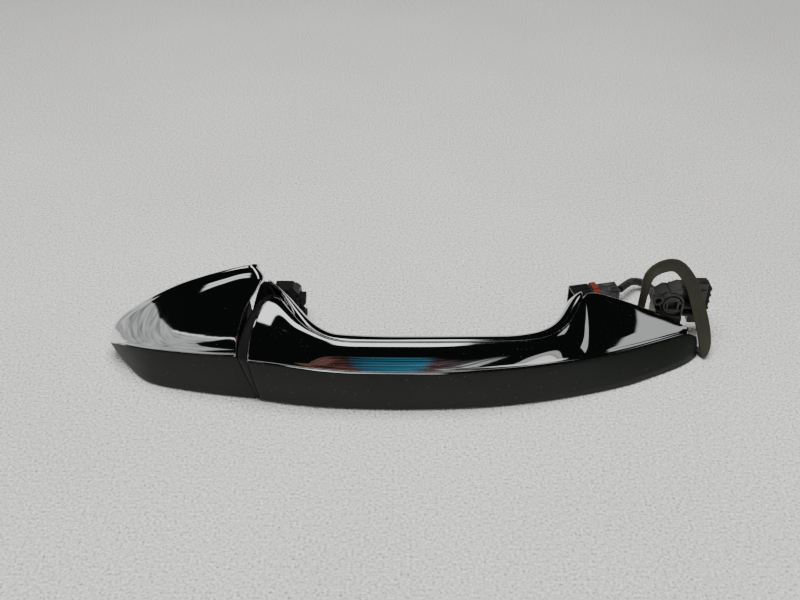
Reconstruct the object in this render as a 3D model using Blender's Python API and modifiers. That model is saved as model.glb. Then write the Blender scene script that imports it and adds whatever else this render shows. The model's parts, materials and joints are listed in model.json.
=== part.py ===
"""Pull handle of a car door with its fixed end cap, built as separate bodies.

Handle frame, in millimetres: X runs along the handle from the cap's tip to the pivot end, Y runs from the
hand towards the door, with the door's skin at Y = 0, and Z runs up from the handle's lower edge.
Everything is scaled to metres and moved to the middle of the footprint when an object is made.
"""

import math

import bmesh
import bpy
from mathutils import Matrix, Vector

MM = 0.001
# Handle-frame point under the middle of the object's footprint: it becomes the origin.
FOOTPRINT_MIDDLE = Vector((5.6, -7.75, 0.0))

SHELL = 1.1  # wall of the trim and cover shells
CORE_INSET = 2.3  # from the outer surface to the moulded core
LIP = 1.2  # chrome trim wrapped over the ridge
SEAM = 0.25  # half the gap along a seam
TRIM_CROWN = 1.3  # of the grip's chrome face over its chord
BACK_GAP = 1.8  # from the seam to the edge of the finger-side shell
BACK_ROUND = 3.6  # size of the rounding over the finger side
FOOT_REACH = 6.5  # how far the cover turns under the grip

GRIP_START = -54.0  # station of the grip's end beside the cap
GRIP_END = 130.0  # where the chrome trim ends; the cover runs on round the tip
COVER_END = 134.5
CAP_START = -131.0
CAP_END = -57.5
SHOULDER_END = 80.0  # where the finger-side shell ends at the pivot shoulder

# Guide curves as rows of X, Y and Z.
GRIP_RIDGE = (
    (-66, -36.4, 22.7), (-54, -37.9, 22.3), (-41, -40.2, 21.8), (-16, -42.3, 21.2), (12, -42.3, 20.8),
    (42, -39.2, 20.2), (76, -30.7, 18.2), (95, -22.9, 16.6), (115, -12.7, 14.6), (128, -5.4, 12.9),
    (131, -3.9, 12.2), (135, -2.4, 8.4),
)
GRIP_SEAM = (
    (-66, 0.2, 34.3), (-54, -1.8, 32.2), (-47.5, -12.4, 31.2), (-42.5, -20.2, 30.3), (-36, -27.0, 29.6),
    (-29, -30.9, 29.1), (-20, -32.3, 28.8), (15, -32.2, 28.5), (50, -31.2, 28.5), (58, -30.2, 28.7),
    (64, -27.9, 29.0), (69, -24.1, 29.4), (73, -19.8, 29.9), (76, -13.6, 30.4), (79, -7.0, 31.2),
    (82.5, -1.2, 31.9), (98, -0.6, 27.3), (112, -0.9, 21.8), (122, -1.4, 17.6), (131, -3.0, 13.0),
)
GRIP_FOOT = (
    (-66, -36.3, 1.0), (-51, -39.5, 1.0), (-30, -42.4, 1.0), (0, -43.7, 1.0), (30, -42.7, 1.0),
    (56, -39.5, 1.0), (78, -34.7, 1.0), (96, -29.5, 1.0), (115, -21.1, 1.0), (127, -14.4, 1.0),
    (131, -11.6, 1.1), (135, -7.4, 1.6),
)
# Top of the finger-side shell, and its back face.
GRIP_CREST = (
    (-66, 0.0, 40.0), (-57, -0.4, 38.0), (-52.5, -2.6, 34.6), (-48, -7.6, 32.6), (-43, -14.5, 31.0),
    (-38, -20.8, 29.9), (-33, -25.5, 29.3), (-27, -28.6, 29.0), (0, -29.8, 28.6), (45, -29.3, 28.6),
    (57, -27.4, 28.9), (63.5, -24.6, 29.2), (68, -21.0, 29.6), (71.5, -16.5, 30.1), (74, -10.5, 30.6),
    (77, -3.6, 31.3), (80, -0.9, 32.0), (84, -0.5, 31.8), (98, -0.4, 27.4), (112, -0.5, 21.9),
    (122, -0.8, 17.7), (131, -1.6, 13.1),
)
GRIP_BACK = (
    (-66, 0.0), (-52, -0.3), (-49, -2.4), (-45, -7.6), (-40, -14.6), (-34, -21.0), (-27, -24.6), (0, -25.6),
    (45, -25.2), (56, -23.6), (63, -20.0), (67.5, -15.2), (71, -8.6), (74, -2.4), (77, -0.2), (134, 0.0),
)
CAP_RIDGE = (
    (-131.4, -5.0, 8.1), (-128.6, -8.3, 10.1), (-124, -13.0, 13.3), (-119, -17.2, 15.7), (-107, -24.4, 19.3),
    (-98, -27.7, 20.8), (-80, -31.7, 22.2), (-57, -34.3, 23.4),
)
CAP_RIM = (
    (-131.4, -4.0, 8.8), (-130.4, -3.7, 12.4), (-125.4, -2.9, 17.8), (-120.5, -2.3, 21.6), (-106, -1.6, 30.8),
    (-96.5, -1.3, 35.5), (-87, -1.1, 39.1), (-78, -1.0, 42.0), (-66.7, -0.9, 45.0), (-57, -0.9, 46.0),
)
CAP_FOOT = (
    (-131.4, -4.6, 6.7), (-128.6, -8.3, 4.8), (-126, -11.2, 3.7), (-120, -17.4, 1.9), (-115, -22.6, 1.1),
    (-110, -26.2, 1.0), (-96, -30.5, 1.0), (-78, -34.1, 1.0), (-57, -37.4, 1.0),
)

# Pivot leg: root on the base, bridge and end block, as low and high corners.
LEG_ROOT = ((114.5, 0.3, 11.5), (127.5, 11.5, 29.0))
LEG_BRIDGE = ((120.5, 8.8, 12.0), (137.0, 15.0, 28.0))
LEG_BLOCK = ((132.7, 8.8, 7.0), (139.7, 17.0, 29.5))
LEG_PAD = ((140.0, 9.4, 9.0), (142.2, 16.4, 27.0))
LEG_SOCKET = ((119.5, -1.0, 20.5), (124.5, 5.0, 25.5))
PIVOT = (139.7, 13.0, 18.0)

# Hook leg behind the cap end: foot, arm and tail.
HOOK_FOOT = ((-56.5, 0.3, 7.0), (-45.0, 9.0, 31.5))
HOOK_ARM = ((-52.5, 7.5, 6.0), (-46.5, 24.0, 20.0))
HOOK_TAIL = ((-57.0, 21.0, 5.0), (-46.5, 28.0, 17.0))
HOOK_WING = ((-46.5, 2.5, 13.0), (-42.2, 9.0, 25.5))
HOOK_NOTCH = ((-43.5, 0.0, 16.5), (-40.0, 12.0, 21.5))
HOOK_PLATE = ((-56.8, 20.0, 6.0), (-53.0, 20.7, 16.0))
HOOK_BUMPER = ((-55.2, 9.3, 8.5), (-52.8, 16.5, 18.5))

# Connector lying behind the pivot shoulder: its front end on the axis, its turn about Z,
# and its stations along the axis from the front.
PLUG_FRONT = Vector((82.6, 30.6, 5.3))
PLUG_TURN = math.radians(12.5)
PLUG_HOUSING = (0.0, 9.4)
PLUG_LOCK = (9.8, 13.9)
PLUG_COVER = (9.7, 23.6)
PLUG_TERMINALS = (6.8, 9.2)
PLUG_PINS = (5.4, 8.0)
PLUG_SEAL = (14.0, 21.8)
WIRE_LIFT = 1.6  # of the wire hole above the axis
LEAD_DIAMETER = 3.8
# From the grommet on the pivot leg down to the table and round to the connector.
LEAD_ROUTE = (
    (118.0, 16.5, 17.0), (118.1, 19.8, 16.7), (119.2, 23.8, 14.4), (121.6, 28.0, 10.4), (124.2, 31.9, 6.3),
    (125.9, 35.8, 3.4), (126.0, 40.2, 2.3), (123.4, 44.2, 3.0), (119.2, 45.9, 4.4), (114.8, 44.3, 5.9),
    (111.2, 40.4, 7.0), (107.2, 36.1, 7.2),
)

# Board pocket in the core, the aerial's axis (Y, Z) in it, and the core's screws.
POCKET = ((-24.2, -39.4, 4.8), (57.2, -20.0, 21.2))
AERIAL_AXIS = (-34.3, 13.0)
SCREW_X = 92.0
SCREW_HEIGHTS = (21.0, 7.0)

# Mounting sleeve behind the cap, its cross slot and the clip on it.
CAP_SLEEVE = ((-95.0, -3.0, 5.5), (-73.0, 13.0, 24.5))
CAP_SLOT = ((-90.0, 4.0, 9.0), (-78.0, 20.0, 21.0))
CAP_CLIP = ((-96.0, 4.0, 10.5), (-72.0, 14.2, 19.5))

# Loose gasket: its centre line, a closed loop, with the band's width at each point.
GASKET_LOOP = (
    (110.8, 8.4, 25.0, 5.2), (112.2, 10.0, 33.0, 5.2), (117.6, 11.2, 37.0, 5.6), (124.2, 10.8, 37.8, 5.6),
    (129.8, 7.8, 32.4, 5.6), (133.0, 5.2, 25.5, 5.4), (135.6, 2.4, 18.0, 5.2), (137.6, -1.4, 11.0, 4.4),
    (138.6, -5.4, 5.2, 3.6), (137.4, -8.0, 2.2, 2.4), (135.8, -2.4, 1.7, 2.4), (130.0, 4.0, 1.7, 2.4),
    (120.0, 6.0, 1.8, 2.4), (112.6, 6.4, 4.6, 3.4), (110.0, 7.0, 13.0, 4.6),
)
GASKET_THICKNESS = 1.7


# ---------------------------------------------------------------- helpers

def clear_scene():
    for obj in list(bpy.data.objects):
        bpy.data.objects.remove(obj, do_unlink=True)


def new_collection(name, hidden=False):
    collection = bpy.data.collections.new(name)
    collection.hide_render = hidden
    bpy.context.scene.collection.children.link(collection)
    return collection


def make_material(name, colour, roughness, metallic=0.0):
    material = bpy.data.materials.new(name)
    material.use_nodes = True
    shader = material.node_tree.nodes["Principled BSDF"]
    shader.inputs["Base Color"].default_value = (*colour, 1.0)
    shader.inputs["Roughness"].default_value = roughness
    shader.inputs["Metallic"].default_value = metallic
    return material


def make_empty(name, point):
    """Empty at a handle-frame point, as the parent of a body."""
    empty = bpy.data.objects.new(name, None)
    empty.location = (Vector(point) - FOOTPRINT_MIDDLE) * MM
    PARTS.objects.link(empty)
    return empty


def add_object(name, work, material, parent, smooth=35.0):
    """Object from a bmesh in the handle frame, moved to its parent's axis, in metres."""
    origin = parent.location / MM + FOOTPRINT_MIDDLE
    bmesh.ops.translate(work, verts=work.verts, vec=-origin)
    bmesh.ops.scale(work, verts=work.verts, vec=(MM, MM, MM))
    mesh = bpy.data.meshes.new(name)
    work.to_mesh(mesh)
    work.free()
    mesh.materials.append(material)
    mesh.shade_smooth()
    mesh.set_sharp_from_angle(angle=math.radians(smooth))
    obj = bpy.data.objects.new(name, mesh)
    obj.parent = parent
    PARTS.objects.link(obj)
    return obj


def on_curve(rows, x, column):
    """A column's value at x, on a monotone cubic through the rows."""
    last = len(rows) - 1
    x = min(max(x, rows[0][0]), rows[last][0])
    i = 0
    while i < last - 1 and x > rows[i + 1][0]:
        i += 1
    steps = [rows[j + 1][0] - rows[j][0] for j in range(last)]
    rises = [(rows[j + 1][column] - rows[j][column]) / steps[j] for j in range(last)]

    def tangent(j):
        if j == 0:
            return rises[0]
        if j == last:
            return rises[last - 1]
        if rises[j - 1] * rises[j] <= 0.0:
            return 0.0
        before = 2 * steps[j] + steps[j - 1]
        after = steps[j] + 2 * steps[j - 1]
        return (before + after) / (before / rises[j - 1] + after / rises[j])

    t = (x - rows[i][0]) / steps[i]
    low, high = rows[i][column], rows[i + 1][column]
    curve = (2 * t**3 - 3 * t**2 + 1) * low + (3 * t**2 - 2 * t**3) * high
    curve += (t**3 - 2 * t**2 + t) * steps[i] * tangent(i)
    curve += (t**3 - t**2) * steps[i] * tangent(i + 1)
    return curve


def guide(rows, x):
    """(Y, Z) of a guide curve at x."""
    return Vector((on_curve(rows, x, 1), on_curve(rows, x, 2)))


def ease(value, start, end):
    """0 at start, 1 at end, smooth between."""
    t = min(max((value - start) / (end - start), 0.0), 1.0)
    return t * t * (3 - 2 * t)


def crowned(low, high, share, height):
    """Point at a share of the way between two YZ points, on a crown fullest at two thirds."""
    chord = high - low
    outward = Vector((-chord.y, chord.x)).normalized()
    return low + chord * share + outward * height * 6.75 * share**2 * (1 - share)


def at(x, flat):
    return Vector((x, flat.x, flat.y))


def grid_surface(rows):
    """Open surface over rows of points."""
    work = bmesh.new()
    verts = [[work.verts.new(point) for point in row] for row in rows]
    for above, below in zip(verts, verts[1:]):
        for i in range(len(above) - 1):
            work.faces.new((above[i], below[i], below[i + 1], above[i + 1]))
    return work


def loft(rings):
    """Closed solid through rings of equal length, with its ends fanned from their middles."""
    work = bmesh.new()
    verts = [[work.verts.new(point) for point in ring] for ring in rings]
    count = len(verts[0])
    for above, below in zip(verts, verts[1:]):
        for i in range(count):
            j = (i + 1) % count
            work.faces.new((above[i], below[i], below[j], above[j]))
    for ring in (verts[0], verts[-1]):
        middle = work.verts.new(sum((vert.co for vert in ring), Vector()) / count)
        for i in range(count):
            work.faces.new((ring[i], ring[(i + 1) % count], middle))
    return face_out(work)


def face_out(work):
    """Turns a closed mesh's faces outwards."""
    bmesh.ops.recalc_face_normals(work, faces=work.faces)
    if work.calc_volume(signed=True) < 0:
        bmesh.ops.reverse_faces(work, faces=work.faces)
    return work


def block(low, high, bevel=0.6):
    """Box between two corners, with small rounded edges."""
    work = bmesh.new()
    bmesh.ops.create_cube(work, size=1.0)
    size = [b - a for a, b in zip(low, high)]
    middle = [(a + b) / 2 for a, b in zip(low, high)]
    bmesh.ops.scale(work, verts=work.verts, vec=size)
    bmesh.ops.translate(work, verts=work.verts, vec=middle)
    if bevel:
        bmesh.ops.bevel(work, geom=work.edges, offset=bevel, segments=1, affect="EDGES")
    return work


def rod(start, end, radius, sides=16, radius_end=None):
    """Solid cylinder or cone between two points."""
    start, end = Vector(start), Vector(end)
    work = bmesh.new()
    top = radius if radius_end is None else radius_end
    length = (end - start).length
    bmesh.ops.create_cone(work, cap_ends=True, segments=sides, radius1=radius, radius2=top, depth=length)
    turn = (end - start).to_track_quat("Z", "Y").to_matrix().to_4x4()
    bmesh.ops.transform(work, matrix=Matrix.Translation((start + end) / 2) @ turn, verts=work.verts)
    return work


def shell_object(name, rows, material, parent):
    """Shell of even wall under an open surface."""
    obj = add_object(name, grid_surface(rows), material, parent)
    solidify = obj.modifiers.new("wall", "SOLIDIFY")
    solidify.thickness = SHELL * MM
    solidify.offset = -1.0
    solidify.use_even_offset = True
    solidify.use_quality_normals = True
    return obj


def boolean(obj, work, operation, parent):
    """Cuts or joins a bmesh tool, kept as a hidden object."""
    tool = add_object(f"tool_{len(TOOLS.objects):02d}", work, obj.data.materials[0], parent)
    PARTS.objects.unlink(tool)
    TOOLS.objects.link(tool)
    tool.hide_render = True
    tool.display_type = "WIRE"
    modifier = obj.modifiers.new(operation.lower(), "BOOLEAN")
    modifier.operation = operation
    modifier.object = tool
    modifier.solver = "EXACT"
    return obj


# ---------------------------------------------------------------- grip sections

def grip_slant(station, full):
    """X of a point on a station, leaned towards the cap near the grip's end."""
    return station + full * ease(-station, 22.0, -GRIP_START)


def grip_upper(station, steps=5):
    """Trim section: from the lip under the ridge, over the ridge and up to the seam."""
    x = grip_slant(station, -9.5)
    ridge, foot = guide(GRIP_RIDGE, x), guide(GRIP_FOOT, x)
    points = [at(x, ridge + (foot - ridge).normalized() * (LIP - SEAM)), at(x, ridge)]
    for i in range(1, steps + 1):
        share = i / steps
        x = grip_slant(station, -9.5 * (1 - share**2))
        low, high = guide(GRIP_RIDGE, x), guide(GRIP_SEAM, x)
        inset = SEAM / max((high - low).length, 1.0) if i == steps else 0.0
        points.append(at(x, crowned(low, high, share - inset, TRIM_CROWN)))
    return points


def grip_lower(station, steps=4):
    """Cover section: from under the foot, round it and up the front to the lip."""
    points = []
    for i in range(steps):
        share = i / steps
        x = grip_slant(station, -9.5 + 3.5 * share)
        ridge, foot = guide(GRIP_RIDGE, x), guide(GRIP_FOOT, x)
        start = (LIP + SEAM) / (ridge - foot).length
        along = start + (0.86 - start) * share / (1 - 1 / steps)
        points.append(at(x, crowned(foot, ridge, 1 - along, 0.5)))
    x = grip_slant(station, -6.0)
    foot = guide(GRIP_FOOT, x)
    depth = foot_depth(x)
    points.append(at(x, foot + Vector((0.9 * depth, -0.6))))
    for reach in (0.46 * FOOT_REACH, FOOT_REACH):
        points.append(at(x, Vector((foot.x + reach * depth, foot.y - 1.0))))
    return points[::-1]


def foot_depth(x):
    """Share of the full foot width that fits, less near the pivot tip."""
    return min(1.0, max(0.25, -guide(GRIP_FOOT, x).x / 22.0))


def grip_back(station):
    """Finger-side section: from the seam, over the crest, down the back and to the foot."""
    x = grip_slant(station, -3.0)
    seam, crest = guide(GRIP_SEAM, grip_slant(station, 0.0)), guide(GRIP_CREST, x)
    start = seam + (crest - seam) * (BACK_GAP / max((crest - seam).length, 2.6))
    points = [at(grip_slant(station, 0.0), start), at(x, crest)]
    x = grip_slant(station, -4.0)
    back = on_curve(GRIP_BACK, x, 1)
    for across, down in ((0.62, 0.28), (0.93, 0.72)):
        points.append(at(x, Vector((crest.x + across * (back - crest.x), crest.y - down * BACK_ROUND))))
    for height in (crest.y - 1.6 * BACK_ROUND, 0.5 * crest.y, 4.2):
        points.append(at(x, Vector((back, height))))
    points.append(at(x, Vector((back - 1.4, 1.2))))
    points.append(at(x, Vector((back - 4.4, 0.0))))
    foot = guide(GRIP_FOOT, x)
    points.append(at(grip_slant(station, -6.0), Vector((foot.x + FOOT_REACH + 0.9, 0.0))))
    return points


def grip_stations(start, end):
    """Stations along the grip, closer together where the arms turn to the door."""
    marks = [-54, -51.5, -49, -46.5, -44, -41.5, -39, -36, -32.5, -28, -20, -6, 10, 26, 42, 51, 57]
    marks += [61, 64.5, 67.5, 70, 72, 74, 76, 78, 80, 84, 90, 97, 104, 111, 118, 124, 128]
    marks += [GRIP_END, 132, 133.5, COVER_END]
    return [mark for mark in marks if start <= mark <= end]


# ---------------------------------------------------------------- cap sections

def cap_slant(station, full):
    return station + full * ease(station, -98.0, CAP_END)


def cap_upper(station):
    """Cap trim section: lip, ridge, upper face, and the return to the door."""
    x = cap_slant(station, -11.5)
    ridge, foot = guide(CAP_RIDGE, x), guide(CAP_FOOT, x)
    reach = min(LIP, 0.3 * (ridge - foot).length)
    points = [at(x, ridge + (foot - ridge).normalized() * reach), at(x, ridge)]
    for share in (0.2, 0.4, 0.6, 0.8, 1.0):
        lean = -11.5 * (1 - share**1.6) if share < 0.9 else -9.2
        x = cap_slant(station, lean)
        low, high = guide(CAP_RIDGE, x), guide(CAP_RIM, x)
        points.append(at(x, crowned(low, high, share, 0.8)))
    rim = guide(CAP_RIM, x)
    points.append(at(x, Vector((0.0, rim.y + 0.3))))
    return points


def cap_lower(station):
    """Cap cover section: from the door, forward under the cap and up the front to the lip."""
    points = []
    for share in (0.0, 0.33, 0.66, 1.0):
        x = cap_slant(station, -11.5 + 7.0 * share)
        ridge, foot = guide(CAP_RIDGE, x), guide(CAP_FOOT, x)
        start = min(LIP + 2 * SEAM, 0.42 * (ridge - foot).length) / (ridge - foot).length
        along = start + (0.88 - start) * share
        points.append(at(x, crowned(foot, ridge, 1 - along, 0.4)))
    x = cap_slant(station, -4.5)
    foot = guide(CAP_FOOT, x)
    round_off = min(1.0, -foot.x / 20.0)
    points.append(at(x, foot + Vector((1.0 * round_off, -0.6 * round_off))))
    points.append(at(x, Vector((foot.x * (1 - 0.12 * round_off), foot.y - 1.0 * round_off))))
    points.append(at(x, Vector((0.5 * foot.x, foot.y - 1.0 * round_off))))
    points.append(at(x, Vector((0.0, foot.y - 0.8 * round_off))))
    return points[::-1]


def cap_stations(start, end):
    marks = [-131, -130, -128.5, -126, -122.5, -118, -112, -105, -97, -89, -81, -74, -68, -63, -60, -57.5]
    return [mark for mark in marks if start <= mark <= end]


# ---------------------------------------------------------------- pieces of the grip

def grip_rows(section, end):
    return [section(station) for station in grip_stations(GRIP_START, end)]


def make_grip_shells():
    shell_object("grip_chrome_trim", grip_rows(grip_upper, GRIP_END), CHROME, GRIP)
    shell_object("grip_cover", grip_rows(grip_lower, COVER_END), DARK_PAINT, GRIP)
    shell_object("grip_inner_shell", grip_rows(grip_back, SHOULDER_END), CHROME, GRIP)


def grip_ring(station):
    """Whole outer section of the grip as one closed ring."""
    return grip_lower(station)[1:-1] + grip_upper(station)[1:] + grip_back(station)[1:]


def inset_loft(rings, inset, keep_back):
    """Closed loft, moved inwards by the inset; points on the door plane that are kept stay there."""
    work = loft(rings)
    work.normal_update()
    moves = [vert.normal * -inset * min(vert.calc_shell_factor(), 1.5) for vert in work.verts]
    for vert, move in zip(work.verts, moves):
        on_door = vert.co.y > -1.6 and keep_back(vert.co.x)
        vert.co += move
        if on_door:
            vert.co.y = 0.0
    return work


def make_grip_core():
    """Moulded core under the shells, with the board pocket, screw holes and flat pivot seat."""
    rings = [grip_ring(station) for station in grip_stations(-48, 124)]
    work = inset_loft(rings, CORE_INSET, lambda x: x > SHOULDER_END + 1)
    core = add_object("grip_core", work, BLACK_PLASTIC, GRIP)
    boolean(core, block(*POCKET, bevel=0), "DIFFERENCE", GRIP)
    for height in SCREW_HEIGHTS:
        head = rod((SCREW_X, -2.9, height), (SCREW_X, 3.0, height), 3.5)
        shank = rod((SCREW_X, -11.0, height), (SCREW_X, 1.0, height), 1.8)
        boolean(core, head, "DIFFERENCE", GRIP)
        boolean(core, shank, "DIFFERENCE", GRIP)


# Shift along X, bulge into the gap and share of the grip's section, from the inner end outwards.
END_PROFILE = ((2.6, 0, 0.76), (0, 0, 0.78), (-0.4, 0, 0.915), (-0.5, 2.2, 0.92), (-0.6, 3.3, 0.84))


def end_bulge(height):
    """Share of the end piece's bulge at a height: full level with the ridge, little above and below."""
    return max(0.1, 1 - abs(height - 22.0) / 24.0)


def make_end_piece():
    """Black plug that closes the grip's end and stands a little into the gap beside the cap."""
    ring = grip_ring(GRIP_START)
    middle = sum(ring, Vector()) / len(ring)
    rings = []
    for shift, bulge, size in END_PROFILE:
        places = [middle + (point - middle) * size for point in ring]
        rings.append([place + Vector((shift - bulge * end_bulge(place.z), 0, 0)) for place in places])
    add_object("grip_end_piece", loft(rings), BLACK_PLASTIC, GRIP)


def make_screws():
    for name, height in zip(("core_screw_upper", "core_screw_lower"), SCREW_HEIGHTS):
        screw = add_object(name, rod((SCREW_X, -2.6, height), (SCREW_X, -0.3, height), 3.1), STEEL, GRIP)
        boolean(screw, rod((SCREW_X, -10.2, height), (SCREW_X, -2.0, height), 1.5, 12), "UNION", GRIP)
        boolean(screw, rod((SCREW_X, -1.6, height), (SCREW_X, 1.0, height), 1.5, 6), "DIFFERENCE", GRIP)


# ---------------------------------------------------------------- electronics in the pocket

def tube_block(low, high, wall_y, wall_z, name, material):
    """Box with a rectangular hole along X."""
    obj = add_object(name, block(low, high, bevel=0), material, GRIP)
    hole = ((low[0] - 5, low[1] + wall_y, low[2] + wall_z), (high[0] + 5, high[1] - wall_y, high[2] - wall_z))
    return boolean(obj, block(*hole, bevel=0), "DIFFERENCE", GRIP)


def around(x_span, half_y, half_z):
    """Corners of a box about the aerial's axis."""
    y, z = AERIAL_AXIS
    return (x_span[0], y - half_y, z - half_z), (x_span[1], y + half_y, z + half_z)


def make_aerial():
    add_object("aerial_ferrite", block(*around((-13, 43), 1.4, 2.9)), FERRITE, GRIP)
    bobbin = add_object("aerial_bobbin", block(*around((-12, 42), 2.4, 3.9), bevel=0), BLACK_PLASTIC, GRIP)
    for span in ((-12, -10.4), (40.4, 42)):
        boolean(bobbin, block(*around(span, 3.3, 5.4), bevel=0), "UNION", GRIP)
    boolean(bobbin, block(*around((-20, 50), 1.7, 3.2), bevel=0), "DIFFERENCE", GRIP)
    tube_block(*around((-10.1, 40.1), 3.2, 5.1), 0.5, 0.9, "aerial_coil", COPPER)


def make_board():
    add_object("sensor_board", block((-22, -30.6, 5.8), (54, -29.4, 20.4), bevel=0), BOARD, GRIP)
    add_object("unlock_electrode", block((-14, -29.0, 6.6), (46, -28.7, 19.6), bevel=0), COPPER, GRIP)
    add_object("lock_electrode", block((-23.6, -39.0, 7.0), (-16, -38.7, 19.0), bevel=0), COPPER, GRIP)
    add_object("pocket_cover", block((-23.4, -28.4, 5.4), (56.4, -27.6, 20.6), bevel=0), BLACK_PLASTIC, GRIP)


# ---------------------------------------------------------------- legs

def union_of(name, boxes, material, parent, bevel=0.7):
    obj = add_object(name, block(*boxes[0], bevel=bevel), material, parent)
    for corners in boxes[1:]:
        boolean(obj, block(*corners, bevel=bevel), "UNION", parent)
    return obj


def make_pivot_leg():
    leg = union_of("pivot_leg", (LEG_ROOT, LEG_BRIDGE, LEG_BLOCK), GREY_PLASTIC, GRIP)
    boolean(leg, block(*LEG_SOCKET, bevel=0), "DIFFERENCE", GRIP)
    x, _, z = LEAD_ROUTE[0]
    boolean(leg, rod((x, 9.0, z), (x, 14.0, z), 2.9), "DIFFERENCE", GRIP)
    add_object("pivot_pad", block(*LEG_PAD), RUBBER, GRIP)


def make_hook_leg():
    hook = union_of("hook_leg", (HOOK_FOOT, HOOK_ARM, HOOK_TAIL, HOOK_WING), BLACK_PLASTIC, GRIP)
    boolean(hook, block(*HOOK_NOTCH, bevel=0), "DIFFERENCE", GRIP)
    add_object("hook_wear_plate", block(*HOOK_PLATE, bevel=0.1), STEEL, GRIP)
    add_object("hook_bumper", block(*HOOK_BUMPER, bevel=0.3), RUBBER, GRIP)


# ---------------------------------------------------------------- lead and connector

def smooth_route(points, spacing):
    """Points a spacing apart on a Catmull-Rom curve through the route's own points."""
    points = [Vector(point) for point in points]
    points = [2 * points[0] - points[1]] + points + [2 * points[-1] - points[-2]]
    fine = []
    for i in range(1, len(points) - 2):
        p0, p1, p2, p3 = points[i - 1:i + 3]
        for step in range(12):
            t = step / 12
            linear = (p2 - p0) * t + (2 * p0 - 5 * p1 + 4 * p2 - p3) * t**2
            fine.append((2 * p1 + linear + (3 * p1 - p0 - 3 * p2 + p3) * t**3) / 2)
    fine.append(points[-2])
    lengths = [0.0]
    for before, after in zip(fine, fine[1:]):
        lengths.append(lengths[-1] + (after - before).length)
    count = max(2, round(lengths[-1] / spacing))
    route = []
    for k in range(count + 1):
        want = lengths[-1] * k / count
        i = max(j for j in range(len(fine) - 1) if lengths[j] <= want + 1e-6)
        share = (want - lengths[i]) / (lengths[i + 1] - lengths[i])
        route.append(fine[i].lerp(fine[i + 1], min(share, 1.0)))
    return route


def make_lead():
    """Sleeved lead as a tube along its route."""
    data = bpy.data.curves.new("lead_sleeve", "CURVE")
    data.dimensions = "3D"
    data.bevel_depth = LEAD_DIAMETER / 2 * MM
    data.bevel_resolution = 2
    data.use_fill_caps = True
    route = smooth_route(LEAD_ROUTE, 2.2 * LEAD_DIAMETER)
    spline = data.splines.new("POLY")
    spline.points.add(len(route) - 1)
    origin = GRIP.location / MM + FOOTPRINT_MIDDLE
    for point, place in zip(spline.points, route):
        point.co = (*((place - origin) * MM), 1.0)
    data.materials.append(SLEEVE)
    lead = bpy.data.objects.new("lead_sleeve", data)
    lead.parent = GRIP
    PARTS.objects.link(lead)
    x, _, z = LEAD_ROUTE[0]
    add_object("wire_grommet", rod((x, 9.4, z), (x, 15.8, z), 2.5, radius_end=2.1), RUBBER, GRIP)


def plug_block(span, half_width, half_height, bevel=0.0):
    """Box on the connector's axis, from its front."""
    work = block((span[0], -half_width, -half_height), (span[1], half_width, half_height), bevel)
    turn = Matrix.Translation(PLUG_FRONT) @ Matrix.Rotation(PLUG_TURN, 4, "Z")
    bmesh.ops.transform(work, matrix=turn, verts=work.verts)
    return work


def make_connector():
    start, end = PLUG_HOUSING
    housing = add_object("connector_housing", plug_block(PLUG_HOUSING, 4.7, 5.0, 0.6), GLOSS_BLACK, GRIP)
    boolean(housing, plug_block((start - 2, end + 2), 3.5, 3.8), "DIFFERENCE", GRIP)
    terminals = add_object("connector_terminals", plug_block(PLUG_TERMINALS, 3.1, 3.4), BRASS, GRIP)
    for side, height in ((-1.5, -1.6), (1.5, -1.6), (-1.5, 1.6), (1.5, 1.6)):
        pin = plug_block(PLUG_PINS, 0.4, 0.4)
        turned = Matrix.Rotation(PLUG_TURN, 4, "Z") @ Vector((0, side, height))
        bmesh.ops.translate(pin, verts=pin.verts, vec=turned)
        boolean(terminals, pin, "UNION", GRIP)
    cover = add_object("connector_rear_cover", plug_block(PLUG_COVER, 3.9, 4.2, 0.3), GREY_PLASTIC, GRIP)
    boolean(cover, plug_block((PLUG_COVER[0] - 2, PLUG_COVER[1] - 1.4), 3.1, 3.4), "DIFFERENCE", GRIP)
    wire_hole = plug_block((15, 30), 1.6, 1.6)
    bmesh.ops.translate(wire_hole, verts=wire_hole.verts, vec=(0, 0, WIRE_LIFT))
    boolean(cover, wire_hole, "DIFFERENCE", GRIP)
    add_object("connector_wire_seal", plug_block(PLUG_SEAL, 2.8, 3.1, 0.4), RUBBER, GRIP)
    lock = add_object("connector_lock", plug_block(PLUG_LOCK, 4.75, 5.05), RED_PLASTIC, LOCK)
    boolean(lock, plug_block((PLUG_LOCK[0] - 2, PLUG_LOCK[1] + 2), 4.2, 4.5), "DIFFERENCE", LOCK)


# ---------------------------------------------------------------- gasket

def make_gasket():
    """Flat band swept round its loop, with its width in the loop's own plane."""
    loop = [Vector(place[:3]) for place in GASKET_LOOP]
    widths = [place[3] for place in GASKET_LOOP]
    count = len(loop)
    middle = sum(loop, Vector()) / count
    rings = []
    for i, point in enumerate(loop):
        along = (loop[(i + 1) % count] - loop[i - 1]).normalized()
        outward = point - middle
        outward = (outward - along * outward.dot(along)).normalized()
        thin = along.cross(outward) * GASKET_THICKNESS / 2
        wide = outward * widths[i] / 2
        rings.append([point + wide + thin, point + wide - thin, point - wide - thin, point - wide + thin])
    work = bmesh.new()
    verts = [[work.verts.new(corner) for corner in ring] for ring in rings]
    for i in range(count):
        here, following = verts[i], verts[(i + 1) % count]
        for j in range(4):
            k = (j + 1) % 4
            work.faces.new((here[j], following[j], following[k], here[k]))
    add_object("pivot_gasket", face_out(work), OLIVE_RUBBER, GRIP)


# ---------------------------------------------------------------- pieces of the cap

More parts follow.
